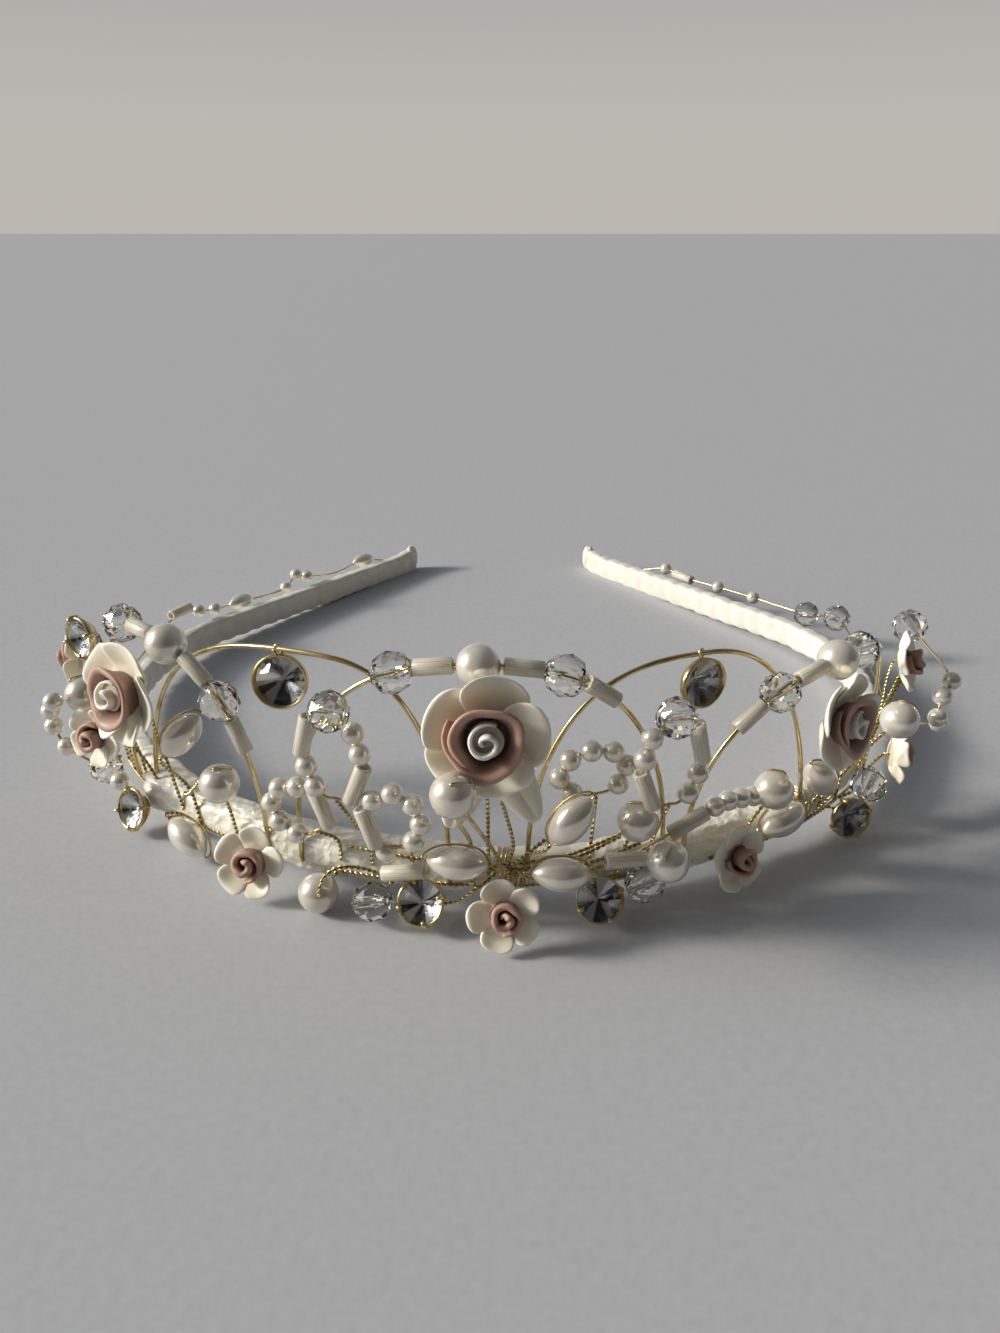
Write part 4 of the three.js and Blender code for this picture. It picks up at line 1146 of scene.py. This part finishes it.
def makeRose(row):
    heap = Heap()
    chance = random.Random(int(row["width"] * 10 + row["along"] * 7))
    half = row["width"] / 2
    floor = rose["wall"] / 3 - rose["sink"] * row["width"]
    for i in range(rose["petals"]):
        angle = math.tau * (i + 0.5) / rose["petals"] + math.pi / 2
        discInto(heap, petalForm(row["width"], angle, chance), rose["wall"], 0)
    plugInto(heap, half * basePlug["reach"], floor - basePlug["under"], half * basePlug["wall"], 0)
    isLarge = row["width"] > rose["large"]
    for roll in heartRolls[isLarge]:
        rollInto(heap, half, floor, roll["start"] if isLarge else chance.uniform(0, math.tau), roll)
    for plug in heartPlugs[isLarge]:
        plugInto(heap, half * plug["reach"], floor + half * plug["above"], half * plug["wall"], plug["look"])
    for leaf in leafForm["turns"].get(row["node"], ()):
        swing = math.radians(leaf + 90)
        discInto(heap, leafSurface(swing, half * 0.3, floor), leafForm["wall"], 3)
    turn = aimed(facing(row), row["roll"])
    place = spot(row["along"], row["out"], row["up"])
    points = [place + turn @ point for point in heap.points]
    piece = makeMesh(row["node"].replace("rose", "roseOf"), points, heap.faces,
                     [creamLook, pinkLook, heartLook, leafLook], True,
                     {"blush": heap.blush, "rim": heap.rim}, heap.looks)
    return tidied(piece)


for row in roseRows:
    setDown(makeRose(row), "porcelain", row["node"])
print("roses made")

# Strings of small beads on wire: loops at the front, and a line along each arm
stringBeads = dict(
    pearl=dict(length=3.0, size=(1.45, 1.45, 1.45)), bugle=dict(length=6, size=(1.1, 1.1, 2.9)),
    crystal=dict(length=5.4, size=(2.8, 2.8, 2.6)), grain=dict(length=7, size=(1.8, 1.8, 3.5)))
stringForm = dict(radius=0.2, slack=0.8, gapAngle=0.3, steps=14)
loopRows = rowsOf("along out up aspect turn foot beads", {
    "pearl_loop_left": (-12.4, 7, 17.6, 0.8, 0, -11.6, ["pearl"] * 5 + ["bugle"]),
    "pearl_loop_far_left": (-25.6, 5.2, 15.6, 1, 40, -21.5, ["bugle"] + ["pearl"] * 5),
    "pearl_loop_tall_left": (-19.4, 7, 26, 0.55, 0, -17, [
        "bugle", "pearl", "pearl", "crystal", "bugle", "pearl", "pearl"]),
    "pearl_loop_tall_right": (20, 7, 25, 0.55, 0, 20, [
        "pearl", "pearl", "bugle", "crystal", "pearl", "pearl", "bugle"]),
    "pearl_loop_right": (11.6, 3, 22.4, 1.3, 8, 11.6, ["pearl"] * 7)})
armStrings = {
    "bead_string_left": [
        (-63, 13.6, 22.4, "pearl"), (-65.4, 13.6, 19.8, "pearl"), (-66.4, 13.4, 16.6, "pearl"),
        (-65.2, 12.4, 13.4, "pearl"), (-64.6, 7.4, 8.4, "crystal"), (-75, 4, 7.4, None),
        (-96, 2.4, 6.4, None), (-119, 3.6, 8, None), (-124.4, 3.8, 9.6, "bugle"), (-129, 3.6, 8, "pearl"),
        (-133, 3.6, 7, "pearl"), (-140.5, 3.8, 6.4, "grain"), (-153.6, 3.6, 6, "pearl"),
        (-157, 3.6, 8.2, "pearl"), (-160.4, 3.6, 6.8, "pearl"), (-169, 3.4, 5.2, None),
        (-180, 3.8, 5.4, "grain"), (-186, 2.2, 4.2, None)],
    "bead_string_right": [
        (76.4, 4.2, 27, "crystal"), (67.6, 12.6, 23.4, "pearl"), (64.6, 12.4, 22.2, "pearl"),
        (63.6, 12.6, 19.2, "pearl"), (66, 12.4, 17, "pearl"), (71, 8, 13, None), (77, 4.2, 8.4, None),
        (98, 2.4, 6.6, None), (114, 3.6, 8.4, None), (120, 4.4, 9.8, "crystal"), (128.2, 4.4, 7.4, "crystal"),
        (142, 3.6, 7, "pearl"), (152.4, 3.6, 6.4, "pearl"), (163.4, 3.4, 5.8, "bugle"),
        (169.4, 3.6, 6.2, "pearl"), (176, 2.2, 4.4, None)],
}
# Small beads that lie along the front of the band: kind, along, out, up and slope
bandBeads = [
    ("bugle", -12, 5.2, 8.4, 12), ("bugle", 15.6, 5.4, 10, -4), ("pearl", -58, 8, 9.4, 0),
    ("pearl", -13.6, 6.4, 12.4, 0),
]
# Beaded wire that rises along the front right to a pearl
frontString = [
    (18, 3, 9.2, None), (21, 3.8, 11.4, None), (24.2, 4.4, 13.4, "bugle"), (28.4, 3.7, 14.6, "pearl"),
    (30.6, 3.5, 14.8, "pearl"), (32.8, 3.4, 14.5, "pearl"), (34.8, 3.6, 14.3, "pearl"), (36, 4.2, 14.6, None)]
smallBeads = {kind: [] for kind in stringBeads}


def addSmallBead(kind, place, axis):
    smallBeads[kind].append(beadRow(place, axis, stringBeads[kind]["size"]))


def ringPoints(row, size):
    gapAngle, count = stringForm["gapAngle"], stringForm["steps"]
    tilt = math.radians(row["turn"])
    points = []
    for i in range(count + 1):
        angle = -math.pi / 2 + gapAngle + (math.tau - 2 * gapAngle) * i / count
        across, above = size * row["aspect"] * math.cos(angle) / 2, size * math.sin(angle) / 2
        points.append(spot(row["along"] + across * math.cos(tilt) - above * math.sin(tilt), row["out"],
                           row["up"] + across * math.sin(tilt) + above * math.cos(tilt)))
    return points


def layLoop(row):
    strung = sum(stringBeads[kind]["length"] for kind in row["beads"])
    trial = 10
    size = trial * (strung + stringForm["slack"]) / lengthsOf(smoothPath(ringPoints(row, trial)))[-1]
    foot = bandFoot(row["foot"]) + band["height"]
    stem = [spot(row["foot"], archForm["legOut"], foot - 2),
            spot(row["foot"], archForm["legOut"] + 0.4, foot + 1.5)]
    ring = ringPoints(row, size)
    at = lengthsOf(smoothPath([*stem, ring[0]]))[-1] + stringForm["slack"] / 2
    path = smoothPath([*stem, *ring])
    for kind in row["beads"]:
        length = stringBeads[kind]["length"]
        addSmallBead(kind, *pointOn(path, at + length / 2))
        at += length
    neck = (ring[0] + ring[-1]) / 2
    return smoothPath([*stem, neck]), smoothPath([neck, *ring, neck])


loopStems, stringWires = [], []
for row in loopRows:
    stem, ring = layLoop(row)
    loopStems.append(stem)
    stringWires.append(ring)
for rows in [*armStrings.values(), frontString]:
    path = smoothPath([spot(*row[:3]) for row in rows])
    stringWires.append(path)
    for i, row in enumerate(rows):
        if row[3]:
            ahead, behind = path[min(i * 10 + 1, len(path) - 1)], path[max(i * 10 - 1, 0)]
            addSmallBead(row[3], spot(*row[:3]), unit(ahead - behind))
for kind, along, out, up, slope in bandBeads:
    addSmallBead(kind, spot(along, out, up), slopedAxis(dict(along=along, slope=slope)))

stringNodes = nodesOf(loopRows) + list(armStrings)
setDown(strewn("seedPearls", pearlMesh(24, 12), smallBeads["pearl"], pearlLook), "pearl", *stringNodes)
setDown(strewn("stringGrains", grainMesh(24, 14), smallBeads["grain"], pearlLook), "pearl")
setDown(strewn("stringCrystals", crystalMesh(), smallBeads["crystal"], crystalLook), "crystal")
setDown(strewn("satinBugles", bugleMesh(), bugleRows + smallBeads["bugle"], bugleLook), "pearl")
layWire("stringWire", stringWires, stringForm["radius"])
print("strings strung")

# Stems: twisted pairs that leave a wire along the foot of the band and end at the piece they carry. Each row
# has that piece, the root along the band, the end of a long pearl that it enters, and points on the way
stemRows = {
    "stems_centre": [
        ("rose_centre", -1.5, 0, (-1.5, 4.4, 20)),
        ("pearl_centre_low", -3.6, 0, (-3.6, 4.4, 13), (-4.4, 9.4, 19.5)),
        ("rice_pearl_centre_left", 1, 1, (0.8, 4.2, 9)),
        ("rice_pearl_centre_high", 2.8, -1, (3.2, 4.2, 11)),
        ("rice_pearl_centre_low", 2.2, -1), ("rose_front", 0.4, 0), ("rhinestone_front_left", -9.7, 0),
        ("rhinestone_front_right", 12.4, 0), ("crystal_front_left", -14, 0), ("crystal_front_right", 16.6, 0),
        ("pearl_right_high", 15.6, 0, (15.6, 3, 9)), ("pearl_right_low", 24.6, 0),
        ("pearl_left_low", -22, 0)],
    "stems_left": [
        ("rose_front_left", -34, 0), ("pearl_left_high", -38.5, 0, (-38.5, 3.2, 10)),
        ("rice_pearl_left_high", -46.5, -1, (-47, 3.2, 11)), ("rice_pearl_left_low", -51, -1),
        ("rose_left", -50.5, 0, (-50.5, 4.4, 17)), ("rhinestone_left", -58.6, 0),
        ("rose_low_left", -56, 0, (-56.4, 3.2, 9), (-57.6, 5.4, 14.6)),
        ("pearl_left_out", -61.5, 0, (-61.8, 3.6, 13)), ("rhinestone_back_left", -68.5, 0, (-68.5, 3.4, 16)),
        ("rose_back_left", -72.5, 0, (-72.5, 3.4, 14))],
    "stems_right": [
        ("rose_front_right", 30.5, 0), ("pearl_right_side", 35, 0, (35, 3, 9)),
        ("rice_pearl_right_low", 48, 1), ("rice_pearl_right_high", 47.6, 1, (47.8, 3.6, 6.4)),
        ("rose_right", 51, 0, (51, 3.4, 12), (49, 5.4, 20)), ("rhinestone_right", 54, 0),
        ("crystal_right", 57.6, 0), ("pearl_right_out", 56, 0, (56, 3.4, 12)),
        ("rose_low_right", 62, 0), ("rose_back_right", 66.5, 0, (66.5, 3.4, 15))],
}
stemForm = dict(strand=0.16, pitch=1.6, spineOut=2.3, spineUp=0.9, hook=0.16, step=0.25, gap=0.1,
                straight=1, straightShare=0.4, spineStep=1.5, spinePast=1)
rowsByNode = {row["node"]: row for row in [*ricePearlRows, *roseRows, *rhinestoneRows]}


def spineSpot(along):
    return spot(along, stemForm["spineOut"], bandFoot(along) + stemForm["spineUp"])


# Where a stem ends, and the direction from the piece back to the stem
def stemEnd(to, side, begin):
    row = rowsByNode.get(to)
    if to.startswith("rice"):
        back = slopedAxis(row) * side
        return nodeCentre(to) + back * (beadSizes["riceLength"] / 2 + stemForm["gap"]), back
    if to.startswith("rose"):
        back = -facing(row)
        return spot(row["along"], row["out"], row["up"]) + back * row["width"] * rose["sink"], back
    if to.startswith("rhinestone"):
        back = -facing(row)
        return stoneCentre(row) + back * row["width"] * stoneCut["neck"], back
    back = unit(begin - nodeCentre(to))
    return nodeCentre(to) + back * (beadSizes["pearl"] / 2 + stemForm["gap"]), back


# The side of a bead that is uppermost to the camera
def upperSide(centre, back):
    side = unit(np.cross(back, cameraSpot - centre))
    return -side if side[2] < 0 else side


# The wire that comes out of a bead's far end and lies back along its upper edge, as the camera sees it
def hookRound(centre, back, long, wide):
    side = upperSide(centre, back)
    far = centre - back * long
    return smoothPath([
        far + back * 0.5, far - back * 0.5, far - back * 0.45 + side * 0.7,
        far + back * long * 0.3 + side * (wide * 0.75 + 0.15), centre + side * (wide + 0.12),
        centre + back * long * 0.7 + side * (wide * 0.75 + 0.15), centre + back * (long + 0.4)], 8)


# Round pearls have a short hook at the far hole only: degrees from the hole, and lift
def shortHook(centre, back, long):
    side = upperSide(centre, back)
    bent = [(0, -0.4), (0, 0.18), (10, 0.24), (24, 0.12), (38, 0.1), (52, 0.05)]
    return smoothPath([centre + (side * math.sin(math.radians(angle)) - back * math.cos(math.radians(angle)))
                       * (long + lift) for angle, lift in bent], 8)


stemPaths, hookPaths, spines = [], [], []
for rows in stemRows.values():
    roots = [row[1] for row in rows]
    first, last = min(roots) - stemForm["spinePast"], max(roots) + stemForm["spinePast"]
    spines.append(np.array([spineSpot(at) for at in np.arange(first, last, stemForm["spineStep"])]))
    for to, rootAlong, side, *via in rows:
        via = [spot(*point) for point in via]
        root = spineSpot(rootAlong)
        begin = via[-1] if via else root
        end, back = stemEnd(to, side, begin)
        straight = min(stemForm["straight"], np.linalg.norm(begin - end) * stemForm["straightShare"])
        stemPaths.append(smoothPath([root, *via, end + back * straight, end]))
        if to.startswith("rice"):
            hookPaths.append(hookRound(nodeCentre(to), back, grainSize[2], grainSize[0]))
        elif to.startswith("pearl") and to != "pearl_left_low":  # a runner ends in that one
            hookPaths.append(shortHook(nodeCentre(to), back, beadSizes["pearl"] / 2))

# Wires that run along the front of the band between the stems: along, out and up
runnerRows = [
    [(0.3, 3.4, 8.4), (1.8, 4.6, 10.2), (4.0, 5.4, 13.0), (6.0, 5.8, 15.2)],
    [(0.2, 3.6, 8.8), (2.2, 5.4, 9.2), (4.6, 6.2, 8.4)],
    [(0.6, 3.4, 8.2), (-0.8, 5.2, 12.6), (-2.8, 9.4, 19.4), (-4.0, 13.0, 24.4)],
    [(0.8, 3.4, 8.6), (1.6, 4.6, 13.0), (0.8, 5.8, 18.0), (0.2, 6.6, 21.0)],
    [(-0.4, 3.4, 8.0), (-2.4, 5.0, 7.0), (-4.8, 5.4, 4.8), (-7.2, 5.0, 3.6)],
    [(0.5, 3.2, 8.4), (5, 4.4, 9.4), (10, 4.2, 10.6), (15.4, 3.4, 12.4)],
    [(0.4, 3.6, 9.2), (4, 4.6, 10.4), (9, 4.4, 11.2), (15.2, 4.4, 13.6)],
    [(0.8, 3.8, 8.8), (6, 5.0, 9.2), (11, 5.0, 9.9), (18, 3.8, 11.2)],
    [(1, 3.4, 7.6), (8, 4.8, 7.9), (14, 4.6, 9.2), (21, 3.4, 9.6)],
    [(-0.5, 3.2, 8.2), (-7, 3.6, 9.3), (-13.5, 3.2, 9.6), (-20, 2.9, 9.6)],
    [(-48, 3.4, 9.8), (-45.4, 4.6, 11.4), (-43, 5.4, 13.6), (-40.9, 5.6, 16)],
    [(-14.5, 3.0, 5.6), (-18, 4.2, 7.4), (-20.4, 5.8, 8.0), (-21.6, 7.4, 7.2), (-21.9, 8.3, 5.7),
     (-22.3, 7.6, 4.2)],
    [(46, 4, 9), (51, 5.2, 12.4), (55, 6.6, 16), (57.6, 8, 18.6)],
    [(60, 3.6, 9), (62, 4.4, 16), (65, 5.2, 21), (69.5, 5.8, 25)],
    [(61, 3.6, 9), (63, 4.8, 17), (66, 5.6, 21.4), (70, 6.2, 24.4)],
]
runners = [smoothPath([spot(*point) for point in row]) for row in runnerRows]
twisted = [resampled(path, stemForm["step"]) for path in [*runners, *stemPaths, *loopStems, *spines]]
layWire("twistedStems", twisted, stemForm["strand"], *stemRows, pitch=stemForm["pitch"])
layWire("beadHooks", hookPaths, stemForm["hook"])
print("stems twisted")

# Floor, light and camera
floorForm = dict(reach=3000, low=-0.02)
corners = [(x * floorForm["reach"], y * floorForm["reach"], floorForm["low"])
           for x, y in ((-1, -1), (1, -1), (1, 1), (-1, 1))]
floor = makeMesh("floor", corners, [(0, 1, 2, 3)], [paperLook], False)

# Soft room: dim behind the camera and brighter behind the object, with a window on the left
sunlight = (0.92, 0.02, -0.4)
windowForm = dict(pane=0.8, paneEdge=(38, 24), core=7.5, coreEdge=(18, 14))
world = bpy.data.worlds.new("softRoom")
world.use_nodes = True
bpy.context.scene.world = world
sky = world.node_tree
backdrop = sky.nodes["Background"]
direction = addNode(sky, "ShaderNodeTexCoord").outputs["Generated"]
parts = addNode(sky, "ShaderNodeSeparateXYZ", links={0: direction}).outputs
roomTint = mixed(sky, spread(sky, parts["Z"], 0, 1, 0, 0.8), linear("#D8D4CC"), linear("#DFE4EC"))
sky.links.new(roomTint, backdrop.inputs["Color"])
allRound = spread(sky, parts["Y"], 0.05, 0.3, -0.7, 0.6)
low = spread(sky, parts["Z"], 0.42, 0, 0.06, 0.45)
behind = spread(sky, parts["Y"], 0, 1, 0.2, 0.9)
room = joined(sky, allRound, joined(sky, low, behind, "MULTIPLY"))
toWindow = addNode(sky, "ShaderNodeVectorMath", {1: -Vector(sunlight).normalized()}, {0: direction},
                   operation="DOT_PRODUCT").outputs["Value"]
for label in ("pane", "core"):
    edges = [math.cos(math.radians(angle)) for angle in windowForm[label + "Edge"]]
    room = joined(sky, room, spread(sky, toWindow, 0, windowForm[label], *edges))
sky.links.new(room, backdrop.inputs["Strength"])

lampForm = dict(energy=2.7, spread=10, tint="#FFF7EA")
lamp = bpy.data.lights.new("windowLight", "SUN")
lamp.energy = lampForm["energy"]
lamp.angle = math.radians(lampForm["spread"])
lamp.color = linear(lampForm["tint"])[:3]
window = newPiece("windowLight", lamp)
window.location = -Vector(sunlight)
window.rotation_euler = Vector(sunlight).to_track_quat("-Z", "Y").to_euler()

camera = bpy.data.cameras.new("camera")
camera.sensor_width = photo["sensor"]
camera.lens = photo["focal"] * photo["sensor"] / photo["height"]
camera.clip_start, camera.clip_end = photo["near"], photo["far"]
viewer = newPiece("camera", camera)
viewer.location = cameraSpot * mm
viewer.rotation_euler = (math.radians(90 - photo["pitch"]), 0, 0)
bpy.context.scene.camera = viewer
bpy.context.scene.view_settings.view_transform = "Standard"
